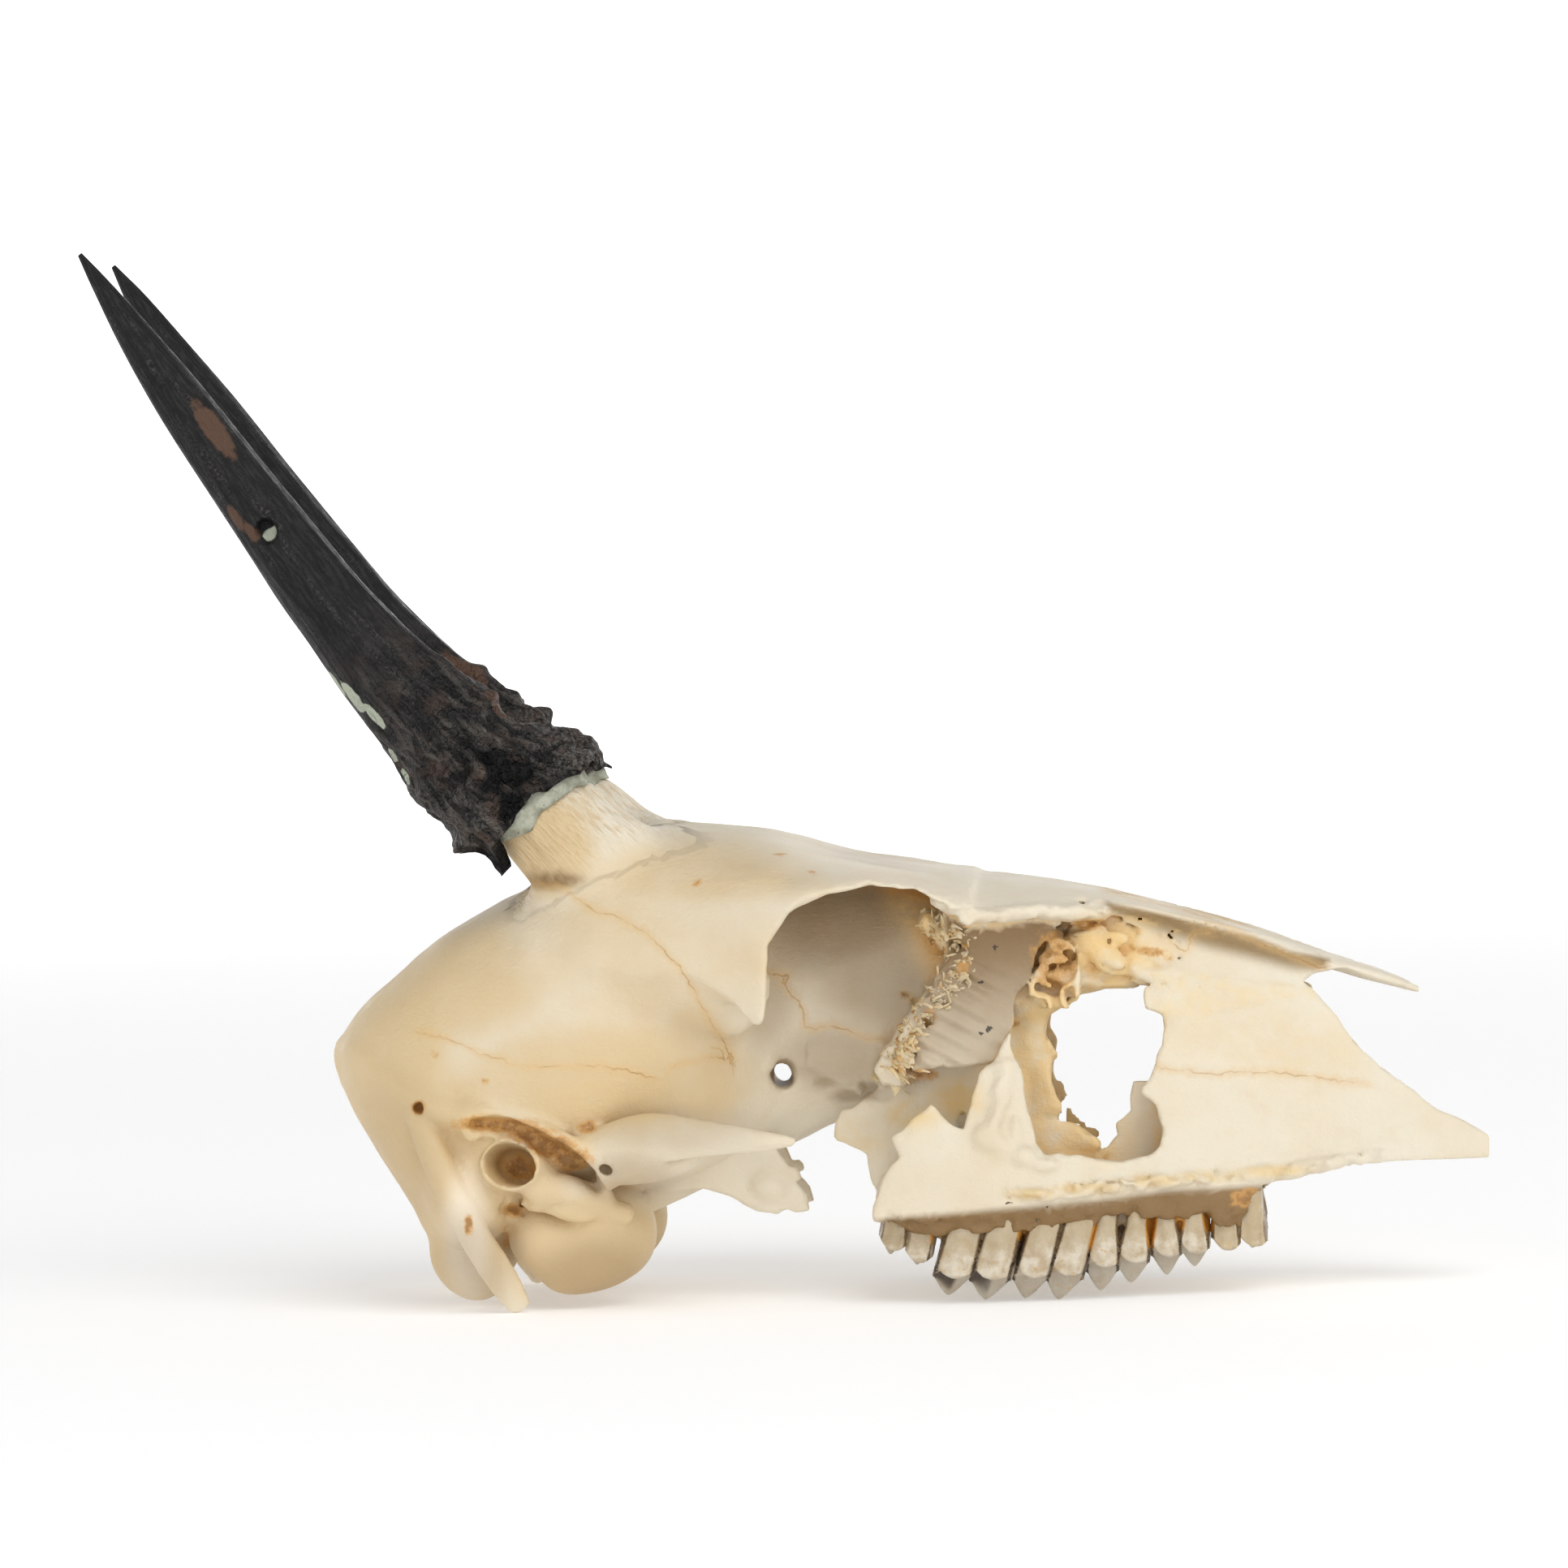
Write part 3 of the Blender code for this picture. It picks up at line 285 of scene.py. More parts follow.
def seen(x, z, y):
    """The point at depth y which the photograph shows at this place of the side view."""
    near = 1 + y / EYE_DISTANCE
    return (
        x * near - y * math.tan(math.radians(EYE_TURN)),
        y,
        EYE_TARGET[2] + (z - EYE_TARGET[2]) * near - y * math.tan(math.radians(EYE_LIFT)),
    )


def side_view(x, y, z):
    """Where the photograph shows points of the right side, and its mirror image those of the left."""
    depth = -np.abs(y)
    near = 1 + depth / EYE_DISTANCE
    across = (x + depth * math.tan(math.radians(EYE_TURN))) / near
    up = EYE_TARGET[2] + (z - EYE_TARGET[2] + depth * math.tan(math.radians(EYE_LIFT))) / near
    return across, up


def soft_min(a, b, blend):
    if not blend:
        return np.minimum(a, b)
    share = np.clip(0.5 + 0.5 * (b - a) / blend, 0.0, 1.0)
    return b + (a - b) * share - blend * share * (1 - share)


def segment(start, end, u, v):
    """The share of a segment that is passed where it is closest to each place, and how far off that is."""
    (u1, v1), (u2, v2) = start, end
    run, rise = u2 - u1, v2 - v1
    t = np.clip(((u - u1) * run + (v - v1) * rise) / (run * run + rise * rise), 0.0, 1.0)
    return t, u - u1 - t * run, v - v1 - t * rise


def outline_distance(outline, x, z):
    """Signed distance to a closed outline, negative inside."""
    nearest = np.full(np.broadcast(x, z).shape, 1e9, np.float32)
    inside = np.zeros(nearest.shape, bool)
    for (x1, z1), (x2, z2) in zip(outline, [*outline[1:], outline[0]]):
        _, off_x, off_z = segment((x1, z1), (x2, z2), x, z)
        nearest = np.minimum(nearest, off_x**2 + off_z**2)
        run, rise = x2 - x1, z2 - z1
        if rise:
            inside ^= ((z1 > z) != (z2 > z)) & (x < run * (z - z1) / rise + x1)
    return np.where(inside, -1, 1) * np.sqrt(nearest)


def line_distance(line, u, v):
    """Distance from points to an open line, positive on its left, and the share of the line passed."""
    best, signed, passed = np.full(len(u), 1e9), np.zeros(len(u)), np.zeros(len(u))
    for i, ((u1, v1), (u2, v2)) in enumerate(zip(line, line[1:])):
        t, off_u, off_v = segment((u1, v1), (u2, v2), u, v)
        away = np.hypot(off_u, off_v)
        closer = away < best
        best = np.where(closer, away, best)
        left = np.sign((u2 - u1) * (v - v1) - (v2 - v1) * (u - u1))
        signed = np.where(closer, left * away, signed)
        passed = np.where(closer, (i + t) / (len(line) - 1), passed)
    return signed, passed


class Field:
    """Signed distances to a shape's surface on a grid, in millimetres, negative inside.

    A part is a window of the grid with the part's own distances in it.
    """

    def __init__(self, low, high, step):
        self.step = step
        self.first = np.floor(np.array(low, float) / step).astype(int)
        last = np.ceil(np.array(high, float) / step).astype(int)
        self.values = np.full(last - self.first + 1, REACH, np.float32)

    def like(self):
        other = Field.__new__(Field)
        other.step, other.first = self.step, self.first
        other.values = np.full_like(self.values, REACH)
        return other

    def window(self, low, high):
        start = np.floor(np.asarray(low, float) / self.step).astype(int) - self.first
        stop = np.ceil(np.asarray(high, float) / self.step).astype(int) - self.first + 1
        start, stop = np.clip(start, 0, self.values.shape), np.clip(stop, 0, self.values.shape)
        return tuple(slice(a, b) for a, b in zip(start, stop))

    def outline_window(self, outline, spare, low, high):
        """The window round a side outline with this much to spare, between two depths."""
        (x0, z0), (x1, z1) = np.min(outline, 0) - spare, np.max(outline, 0) + spare
        return self.window((x0, low, z0), (x1, high, z1))

    def everywhere(self):
        return tuple(slice(0, count) for count in self.values.shape)

    def axes(self, window):
        return [(self.first[i] + np.arange(w.start, w.stop)) * self.step for i, w in enumerate(window)]

    def coordinates(self, window):
        xs, ys, zs = (a.astype(np.float32) for a in self.axes(window))
        return xs[:, None, None], ys[None, :, None], zs[None, None, :]

    def add(self, part, blend=0.0):
        window, values = part
        self.values[window] = soft_min(self.values[window], values, blend)

    def cut(self, part, blend=0.0):
        window, values = part
        self.values[window] = -soft_min(-self.values[window], values, blend)

    def whole(self):
        return self.everywhere(), self.values

    def noise(self, window, sizes, seed, squash=(1.0, 1.0, 1.0)):
        """A sum of noises: each size comes with its height."""
        axes = [a * s for a, s in zip(self.axes(window), squash)]
        return sum(height * grid_noise(axes, size, seed + i) for i, (size, height) in enumerate(sizes))

    def mesh(self, build):
        """A part from a closed mesh, which the function builds."""
        bm = bmesh.new()
        build(bm)
        bmesh.ops.triangulate(bm, faces=bm.faces)
        bm.verts.index_update()
        points = np.array([v.co for v in bm.verts], np.float32)
        triangles = np.array([[v.index for v in f.verts] for f in bm.faces], np.uint32)
        bm.free()
        window = self.window(points.min(0) - REACH, points.max(0) + REACH)
        level = openvdb.FloatGrid.createLevelSetFromPolygons(
            points / self.step, triangles=triangles, halfWidth=REACH / self.step
        )
        values = np.empty([w.stop - w.start for w in window], np.float32)
        level.copyToArray(values, ijk=tuple(int(f + w.start) for f, w in zip(self.first, window)))
        return window, values * self.step

    def tube(self, path, sizes, up=(0, 0, 1)):
        return self.mesh(lambda bm: add_tube(bm, path, sizes, up))

    def ball(self, centre, radii, turn=(0, 0, 0)):
        """A part that is an ellipsoid, turned by angles round X, Y and Z."""
        matrix = Matrix.Identity(3)
        for axis, angle in zip("XYZ", turn):
            matrix = matrix @ Matrix.Rotation(math.radians(angle), 3, axis)
        centre, widest = np.array(centre, float), max(radii) + REACH
        window = self.window(centre - widest, centre + widest)
        x, y, z = (a - c for a, c in zip(self.coordinates(window), centre))
        own = [m[0] * x + m[1] * y + m[2] * z for m in np.array(matrix.transposed(), np.float32)]
        far = np.sqrt(sum((a / r) ** 2 for a, r in zip(own, radii)))
        steep = np.sqrt(sum((a / r**2) ** 2 for a, r in zip(own, radii))) + 1e-6
        return window, far * (far - 1) / steep

    def prism(self, outline, low, high, rough=0.0, seed=0, as_seen=False):
        """A part that is a side outline pushed across the head, with a torn edge if rough.

        An outline as seen is pushed along the photograph's own line of sight.
        """
        spare = REACH + (SLANT if as_seen else 0.0)
        window = self.outline_window(outline, spare, low - REACH, high + REACH)
        x, y, z = self.coordinates(window)
        across, up = side_view(x, y, z) if as_seen else (x, z)
        values = outline_distance(outline, across, up)
        if rough:
            values = values + self.noise(window, [(3.4, rough), (1.5, rough * 0.7)], seed, (1.0, 0.15, 1.0))
        middle, half = (low + high) / 2, (high - low) / 2
        return window, np.maximum(values, np.abs(y - middle) - half)

    def side_prism(self, outline, side, inner, outer, rough=0.0, seed=0, as_seen=False):
        low, high = sorted((side * inner, side * outer))
        return self.prism(outline, low, high, rough, seed, as_seen)

    def sample(self, values, points):
        """Values of a grid of this field's shape at points, in a straight line between grid points."""
        places = points / self.step - self.first
        low = np.clip(np.floor(places).astype(int), 0, np.array(values.shape) - 2)
        share = np.clip(places - low, 0.0, 1.0)
        total = np.zeros(len(points))
        for corner in itertools.product((0, 1), repeat=3):
            total += np.prod(np.where(corner, share, 1 - share), axis=1) * values[tuple((low + corner).T)]
        return total

    def blurred(self, radius):
        """The distances averaged over boxes, twice, which shows how hollow or how proud a place is."""
        values, count = self.values, max(1, round(radius / self.step))
        for axis in (0, 1, 2) * 2:
            before, after = (np.take(values, places, axis) for places in ([0] * (count + 1), [-1] * count))
            padded = np.concatenate([before, values, after], axis)
            sums = np.cumsum(padded, axis, dtype=np.float64)
            size = 2 * count + 1
            ahead = np.take(sums, range(size, sums.shape[axis]), axis)
            behind = np.take(sums, range(sums.shape[axis] - size), axis)
            values = ((ahead - behind) / size).astype(np.float32)
        return values

    def object(self, name, triangles):
        """The surface as an object in the drawing's millimetres, with at most this many triangles."""
        band = 3 * self.step
        level = openvdb.FloatGrid(band)
        clipped = np.clip(self.values, -band, band)
        level.copyFromArray(clipped, ijk=tuple(int(i) for i in self.first))
        points, _, quads = level.convertToPolygons(0.0, 0.0)
        points, quads = largest_body(points * self.step, quads)
        obj = link_polygons(name, points, quads)
        if 2 * len(quads) > triangles:
            fewer = obj.modifiers.new("fewer faces", "DECIMATE")
            fewer.ratio = triangles / (2 * len(quads))
            bpy.context.view_layer.update()
            evaluated = obj.evaluated_get(bpy.context.evaluated_depsgraph_get())
            obj.data = bpy.data.meshes.new_from_object(evaluated)
            obj.modifiers.clear()
            obj.data.name = name
        face_outwards(obj.data)
        return obj


def largest_body(points, quads):
    """Drops every crumb and bubble beside the largest body."""
    label = np.arange(len(points))
    edges = np.concatenate([quads[:, [i, (i + 1) % 4]] for i in range(4)]).astype(np.int64)
    while True:
        lowest = np.minimum(label[edges[:, 0]], label[edges[:, 1]])
        before = label.copy()
        np.minimum.at(label, edges[:, 0], lowest)
        np.minimum.at(label, edges[:, 1], lowest)
        label = label[label]
        if np.array_equal(before, label):
            break
    names, counts = np.unique(label, return_counts=True)
    keep = label == names[counts.argmax()]
    place = np.cumsum(keep) - 1
    return points[keep], place[quads[keep[quads[:, 0]]].astype(np.int64)]


def link(name, data):
    obj = bpy.data.objects.new(name, data)
    bpy.context.scene.collection.objects.link(obj)
    return obj


def link_bmesh(name, bm):
    """Turns a finished bmesh into an object."""
    bmesh.ops.recalc_face_normals(bm, faces=bm.faces)
    mesh = bpy.data.meshes.new(name)
    bm.to_mesh(mesh)
    bm.free()
    return link(name, mesh)


def link_polygons(name, points, polygons):
    mesh = bpy.data.meshes.new(name)
    mesh.from_pydata(points, [], polygons)
    return link(name, mesh)


def face_outwards(mesh):
    bm = bmesh.new()
    bm.from_mesh(mesh)
    if bm.calc_volume(signed=True) < 0:
        bmesh.ops.reverse_faces(bm, faces=bm.faces)
    bm.to_mesh(mesh)
    bm.free()


def vertices(obj):
    """The mesh's points, in the drawing's millimetres until settle moves them."""
    flat = np.empty(len(obj.data.vertices) * 3, np.float32)
    obj.data.vertices.foreach_get("co", flat)
    return flat.reshape(-1, 3).astype(float)


def give(obj, name, values):
    """Stores one number, or three, for each vertex under a name that the materials read."""
    values = np.asarray(values, np.float32)
    kind, key = ("FLOAT_VECTOR", "vector") if values.ndim == 2 else ("FLOAT", "value")
    obj.data.attributes.new(name, kind, "POINT").data.foreach_set(key, values.ravel())


def settle(obj, node, material):
    """Moves a finished mesh to the model's frame in metres, and lets it stand for its solid."""
    placed = (vertices(obj) + DRAWN_FROM) * MM
    obj.data.vertices.foreach_set("co", placed.astype(np.float32).ravel())
    obj.data.shade_smooth()
    obj.data.materials.clear()
    obj.data.materials.append(material)
    obj.data.update()
    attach(obj, "root")
    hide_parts(node)


OVAL_POINTS, OVAL_POWER = 28, 2.3
STATION_STEPS, SHEET_STEPS, ROW_STEPS = 6, 5, 4  # points for each span: between stations, and in a row


def oval(top, bottom, half_width, widest):
    """Half section, from the middle of the top to the middle of the bottom."""
    turn = np.linspace(0.0, math.pi, OVAL_POINTS)
    across, up = np.sin(turn), np.cos(turn)
    reach = np.where(up > 0, top - widest, widest - bottom)
    y = half_width * np.abs(across) ** (2 / OVAL_POWER)
    z = widest + np.sign(up) * np.abs(up) ** (2 / OVAL_POWER) * reach
    y[0] = y[-1] = 0.0
    return np.stack([y, z], 1)


def add_rings(bm, rings):
    """A closed skin through rings of the same number of points, with its two ends capped."""
    skins = [[bm.verts.new(Vector(p)) for p in ring] for ring in rings]
    count = len(skins[0])
    for one, other in zip(skins, skins[1:]):
        for i in range(count):
            j = (i + 1) % count
            bm.faces.new((one[i], one[j], other[j], other[i]))
    bm.faces.new(skins[0])
    bm.faces.new(skins[-1])


def add_hull(bm, xs, halves):
    """A symmetric body from half sections at these x."""
    rings = []
    for x, half in zip(xs, halves):
        right = [(x, -y, z) for y, z in half]
        left = [(x, y, z) for y, z in half[-2:0:-1]]
        rings.append(right + left)
    add_rings(bm, rings)


def add_oval_hull(bm, stations):
    dense = spline(stations, STATION_STEPS)
    add_hull(bm, dense[:, 0], [oval(*row[1:]) for row in dense])


TUBE_TURNS = 24
ROUND_END = ((0.8, 0.4), (0.4, 0.65))  # rings that close a tube: share of its last ring, and push outwards


def add_tube(bm, path, sizes, up):
    """A round-ended tube. A size is the half width across the up direction, and the half width along it."""
    path, sizes = spline(path, STATION_STEPS), spline(sizes, STATION_STEPS)
    tangents = np.gradient(path, axis=0)
    rings = []
    for centre, (wide, tall), tangent in zip(path, sizes, tangents):
        along = Vector(tangent).normalized()
        side = along.cross(Vector(up)).normalized()
        top = side.cross(along)
        ring = []
        for turn in np.arange(TUBE_TURNS) / TUBE_TURNS * math.tau:
            ring.append(Vector(centre) + side * wide * math.cos(turn) + top * tall * math.sin(turn))
        rings.append(ring)
    for end, inner in ((0, 1), (-1, -2)):
        centre, edge = Vector(path[end]), rings[end]
        outwards = (centre - Vector(path[inner])).normalized() * min(sizes[end])
        for share, push in ROUND_END:
            closing = [centre + (p - centre) * share + outwards * push for p in edge]
            rings.insert(len(rings) if end else 0, closing)
    add_rings(bm, rings)


def add_sheet(bm, stations, thickness):
    """A symmetric plate whose top surface runs through the stations. It is thick downwards and inwards."""
    xs = spline([[x] for x, _ in stations], SHEET_STEPS)[:, 0]
    tops = [spline(row, ROW_STEPS) for row in spline([row for _, row in stations], SHEET_STEPS)]
    halves = []
    for top in tops:
        run = np.gradient(top, axis=0)
        normal = np.stack([run[:, 1], -run[:, 0]], axis=1)
        normal /= np.linalg.norm(normal, axis=1)[:, None]
        under = top + normal * thickness
        under[0] = (0.0, top[0, 1] - thickness)
        halves.append(np.concatenate([top, under[::-1]]))
    add_hull(bm, xs, halves)


def mirrored(points, side):
    """Points of either side, from those of the left side."""
    return [(x, side * abs(y), z) for x, y, z in points]


def horn_frame(side):
    """Tip, direction towards the foot, forward direction and sideways direction of one horn."""
    tip = HORN_TIP[side]
    along = (HORN_FOOT[side] - tip).normalized()
    sideways = along.cross(Vector((0.78, 0.0, 0.62))).normalized()
    return tip, along, sideways.cross(along).normalized(), sideways


CORE_STEPS, CORE_TURNS = 4, 40


def core_rings(side):
    tip, along, forwards, sideways = horn_frame(side)
    rings = []
    for distance, offset, half in spline(CORE_STATIONS, CORE_STEPS):
        centre = tip + along * distance + forwards * offset
        ring = []
        for turn in np.arange(CORE_TURNS) / CORE_TURNS * math.tau:
            across = sideways * half * HORN_FLATNESS * math.sin(turn)
            ring.append(centre + forwards * half * math.cos(turn) + across)
        rings.append(ring)
    return rings


ROOF, EDGE, TUCK, RIDGE, FOOT, PALATE = 0, 2, 3, 6, 7, 8  # places in a half section of the face
RIDGE_WIDTH, FOOT_WIDTH, HOLLOW_CORNER = 5.8, 6.1, 2.0  # bone beside the hollow, above the teeth
HOLLOW_HALF_WIDTH = 0.8
FACE_STEPS, FACE_ROW_STEPS = 8, 5


def face_halves(inset):
    """Half sections of the face or, inset, of the hollow inside it."""
    xs = spline([[x] for x, _ in FACE], FACE_STEPS)[:, 0]
    halves = []
    for row in spline([row for _, row in FACE], FACE_STEPS):
        if inset:
            row[ROOF:EDGE, 1] -= inset
            row[EDGE] -= (inset * 1.5, inset * 1.2)
            row[TUCK:RIDGE, 0] -= inset
            floor = row[PALATE, 1] + PALATE_THICKNESS
            row[RIDGE] = (row[RIDGE, 0] - RIDGE_WIDTH, floor + HOLLOW_CORNER)
            row[FOOT] = (row[FOOT, 0] - FOOT_WIDTH, floor)
            row[PALATE] = (0.0, floor)
            row[:, 0] = np.maximum(row[:, 0], HOLLOW_HALF_WIDTH)
            row[ROOF, 0] = row[PALATE, 0] = 0.0
        half = spline(row, FACE_ROW_STEPS)
        half[:, 0] = np.maximum(half[:, 0], 0.0)
        halves.append(half)
    return xs, halves


def at(points, side):
    """Places on one side, from where the photograph shows them and how far they are from the middle."""
    return [(x, side * -y, z) for x, y, z in (seen(x, z, -depth) for x, z, depth in points)]


def add_parts(field, side, parts):
    """Adds parts of one side in their order: an ellipsoid at one place, or a tube through several."""
    for _, placed, places, sizes, blend, *aim in parts:
        path = placed(places, side)
        shape = field.tube(path, sizes, *aim) if len(path) > 1 else field.ball(path[0], sizes, *aim)
        field.add(shape, blend)


# Parts of one side: name, how the places are given, places, sizes, blend, and a tube's up direction or an
# ellipsoid's turn
BRAINCASE_PARTS = [
    ("brow web", mirrored,
     [(-26.0, 21.5, 52.0), (-17.0, 22.5, 51.0), (-10.0, 22.0, 48.5), (-5.5, 21.5, 46.0)],
     [(3.0, 4.0), (4.6, 5.5), (5.6, 6.0), (4.0, 5.5)], 5.0),
    ("nuchal crest", mirrored,
     [(-64.6, 4, 38.2), (-62.0, 13, 38.2), (-57.4, 19.5, 35.4), (-50.8, 23.8, 32.2), (-43.0, 26.0, 30.0)],
     [(1.3, 1.5), (1.2, 1.5), (1.2, 1.5), (1.3, 1.5), (1.2, 1.6)], 2.6),
    ("crest over the ear", mirrored,
     [(-45.0, 25.6, 30.4), (-36.5, 26.6, 28.6), (-30.5, 26.8, 26.2), (-26.0, 26.6, 22.8)],
     [(1.5, 1.7), (1.4, 1.5), (1.4, 1.5), (1.3, 1.4)], 2.2),
    ("occiput", mirrored, [(-48.0, 9, 15.0), (-46.5, 16, 16.0), (-45.0, 22, 18.0)],
     [(5.0, 5.0), (4.6, 5.0), (4.0, 5.0)], 2.5),
]
OCCIPUT_PARTS = [
    ("shoulder", mirrored, [(-44.6, 18.5, 20.5)], (6.5, 5.5, 8.0), 2.5),
    ("process", mirrored,
     [(-52.6, 22.4, 30.4), (-50.2, 24.0, 24.6), (-47.4, 24.9, 18.8), (-44.6, 24.2, 13.0),
      (-41.2, 22.2, 6.8), (-38.8, 20.8, 2.5)],
     [(1.5, 1.8), (1.9, 2.1), (1.8, 2.3), (1.5, 2.4), (1.2, 2.4), (0.9, 1.7)], 0.8, (1, 0, 0)),
]
EAR_PARTS = [
    ("bulla", mirrored, [(-29.2, 14.8, 12.1)], (8.1, 7.2, 8.3), 0.8),
    ("back of the bulla", mirrored, [(-32.4, 16.5, 10.2)], (5.0, 5.2, 6.0), 2.5),
    ("canal", mirrored, [(-34.0, 15.0, 19.0), (-37.0, 21.0, 22.0), (-39.3, 26.4, 23.6)],
     [(5.0, 4.6), (4.2, 3.6), (4.9, 4.0)], 0.7),
    ("side of the bulla", at, [(-36.6, 10.6, 17.0)], (5.2, 5.5, 5.6), 1.5),
    ("lower lip of the canal", at, [(-38.0, 17.6, 24.5), (-33.5, 17.2, 23.0), (-28.0, 15.6, 20.6)],
     [(2.0, 2.2), (2.2, 2.4), (2.4, 2.2)], 1.5),
    ("front of the bulla", mirrored, [(-26.6, 12.6, 12.4)], (7.2, 6.4, 7.6), 1.5),
    ("rod", at,
     [(-39.0, 15.6, 22.5), (-35.8, 14.9, 23.0), (-33.2, 14.0, 23.0), (-30.6, 13.7, 22.6),
      (-28.7, 14.3, 21.6)],
     [(1.3, 1.3), (1.1, 1.1), (1.3, 1.2), (1.2, 1.1), (0.7, 0.8)], 0.6),
    ("strut", mirrored, [(-35.6, 21.5, 18.8), (-29.6, 21.5, 17.2), (-23.2, 20.0, 15.6)],
     [(1.6, 1.6)] * 3, 0.8),
    ("flange", at, [(-38.0, 15.0, 23.5), (-35.4, 16.0, 24.5), (-33.4, 16.8, 24.6)],
     [(1.2, 0.9), (1.0, 0.7), (0.5, 0.5)], 0.5),
    ("knob", at, [(-47.0, 25.9, 25.6)], (1.5, 1.0, 1.3), 0.4, (0, 30, 0)),
]
ARCH_PARTS = [
    ("blade", mirrored,
     [(-28.4, 24.5, 25.0), (-19.6, 28.8, 27.0), (-10.2, 32.0, 27.2), (-2.4, 33.6, 26.8),
      (1.9, 34.0, 26.7)],
     [(2.2, 2.6), (1.5, 3.9), (1.1, 2.5), (0.9, 1.4), (0.5, 0.6)], 1.6),
    ("jaw joint", mirrored, [(-19.6, 23.2, 22.8)], (7.6, 6.0, 2.6), 1.8, (0, -8, 0)),
    ("stop behind the joint", mirrored, [(-25.6, 24.0, 21.8)], (1.7, 3.4, 2.4), 1.2),
]
ROLL_PARTS = [
    ("roof", at, [(41.0, 55.4, 8.6), (46.4, 55.0, 9.0), (51.0, 52.9, 8.8), (55.0, 50.0, 8.4)],
     [(2.2, 2.2)] * 4, 0.8),
    ("lower roll", mirrored, [(33.0, 6.0, 49.4), (42.0, 7.0, 49.6), (56.0, 7.4, 48.6)],
     [(4.5, 5.0), (4.4, 4.4), (2.6, 2.6)], 0.5),
    ("upper roll", mirrored, [(33.0, 4.0, 55.0), (46.0, 5.0, 54.6), (62.0, 4.8, 51.4)],
     [(4.0, 3.4), (3.8, 2.8), (3.0, 2.2)], 0.5),
    ("back roll", mirrored, [(33.0, 8.0, 44.6), (36.5, 9.0, 44.6), (39.5, 9.4, 45.0)],
     [(3.0, 3.6), (2.6, 3.0), (1.8, 1.8)], 0.5),
    ("lump", at, [(43.6, 52.4, 10.8)], (3.4, 2.2, 2.3), 0.9, (0, 25, 0)),
    ("lump", at, [(46.6, 49.4, 11.2)], (3.2, 1.9, 2.1), 0.9, (0, 25, 0)),
    ("lump", at, [(50.6, 47.8, 10.6)], (3.6, 1.8, 1.8), 0.9, (0, 25, 0)),
    ("lump", at, [(52.2, 50.4, 10.0)], (3.2, 1.7, 1.9), 0.9, (0, 25, 0)),
    ("lump", at, [(48.4, 52.9, 9.8)], (3.4, 2.2, 2.1), 0.9, (0, 25, 0)),
    ("lump", at, [(41.2, 49.2, 10.6)], (2.4, 2.0, 2.6), 0.9, (0, 25, 0)),
]
NASAL_TIP = [
    ("tip", mirrored, [(72.0, 2.4, 50.6), (81.0, 2.2, 47.6), (91.4, 1.4, 44.2)],
     [(2.8, 0.8), (2.2, 0.7), (0.8, 0.45)], 0.8),
]
PTERYGOID = [
    (-21.0, 20.6), (-21.0, 17.2), (-13.1, 18.0), (-8.9, 16.6), (-4.8, 14.4), (-1.9, 13.8), (-0.7, 14.9),
    (0.5, 14.0), (2.6, 14.2), (2.1, 16.3), (1.2, 17.3), (0.2, 18.5), (1.2, 19.2), (0.6, 20.4),
    (-0.5, 20.2), (-2.6, 25.0), (-13.6, 25.6),
]


# Outlines and lines as the photograph shows them
PLATE = [
    (17.4, 32.8), (17.6, 38.4), (18.8, 42.6), (21.6, 47.7), (23.2, 50.6), (23.0, 53.6), (22.8, 57.0),
    (28.8, 56.9), (35.4, 56.8), (40.4, 57.2), (43.4, 57.6), (46.2, 55.9), (44.8, 54.0), (41.2, 52.9),
    (38.7, 52.4), (36.5, 50.8), (35.6, 47.1), (33.0, 44.2), (32.6, 40.1), (30.9, 37.6), (29.5, 34.7),
    (27.5, 34.2), (24.1, 33.9),
]
LIP_LINE = [
    (21.6, 58.8), (24.0, 57.4), (26.4, 55.9), (29.0, 55.9), (32.4, 56.3), (36.2, 56.6), (39.4, 56.4),
    (42.4, 56.3), (45.2, 56.5), (46.6, 57.2),
]
CURL_LINE = [(45.6, 57.2), (45.9, 55.6), (44.2, 53.9), (41.4, 53.1)]
CHEEK_SEEN = [
    (44.6, 58.0), (46.7, 56.1), (49.9, 54.2), (54.4, 51.9), (55.9, 50.0), (55.1, 48.8), (52.5, 47.4),
    (55.0, 43.0), (54.3, 40.7), (54.5, 38.0), (53.8, 36.3), (52.4, 31.9), (50.5, 30.0), (53.1, 27.9),
    (54.0, 24.7), (53.2, 22.1), (51.4, 20.7), (47.8, 20.0), (44.6, 20.1), (40.7, 20.6), (36.7, 21.3),
    (35.4, 23.0), (34.4, 27.4), (33.5, 34.2), (32.1, 36.8), (32.6, 40.1), (33.0, 44.2), (35.6, 47.1),
    (36.5, 50.8), (38.7, 52.4), (41.2, 52.9), (44.8, 53.9),
]
GAP_SEEN = [
    (10.7, 13.8), (13.0, 18.6), (15.3, 21.2), (13.9, 24.1), (16.4, 25.6), (20.4, 28.9), (21.7, 27.1),
    (23.5, 25.6), (25.0, 25.1), (26.2, 29.8), (27.7, 33.3), (29.0, 34.5), (24.1, 33.9), (19.9, 34.0),
    (14.6, 33.2), (8.0, 37.0), (4.0, 22.0), (6.0, 8.0), (10.0, 8.0),
]
CRUMB_LINE = [
    (21.0, 55.8), (23.2, 53.8), (25.2, 50.9), (24.8, 47.9), (22.8, 45.4), (20.8, 43.0), (18.8, 40.6),
    (17.2, 38.0), (16.4, 35.4), (16.2, 32.6),
]
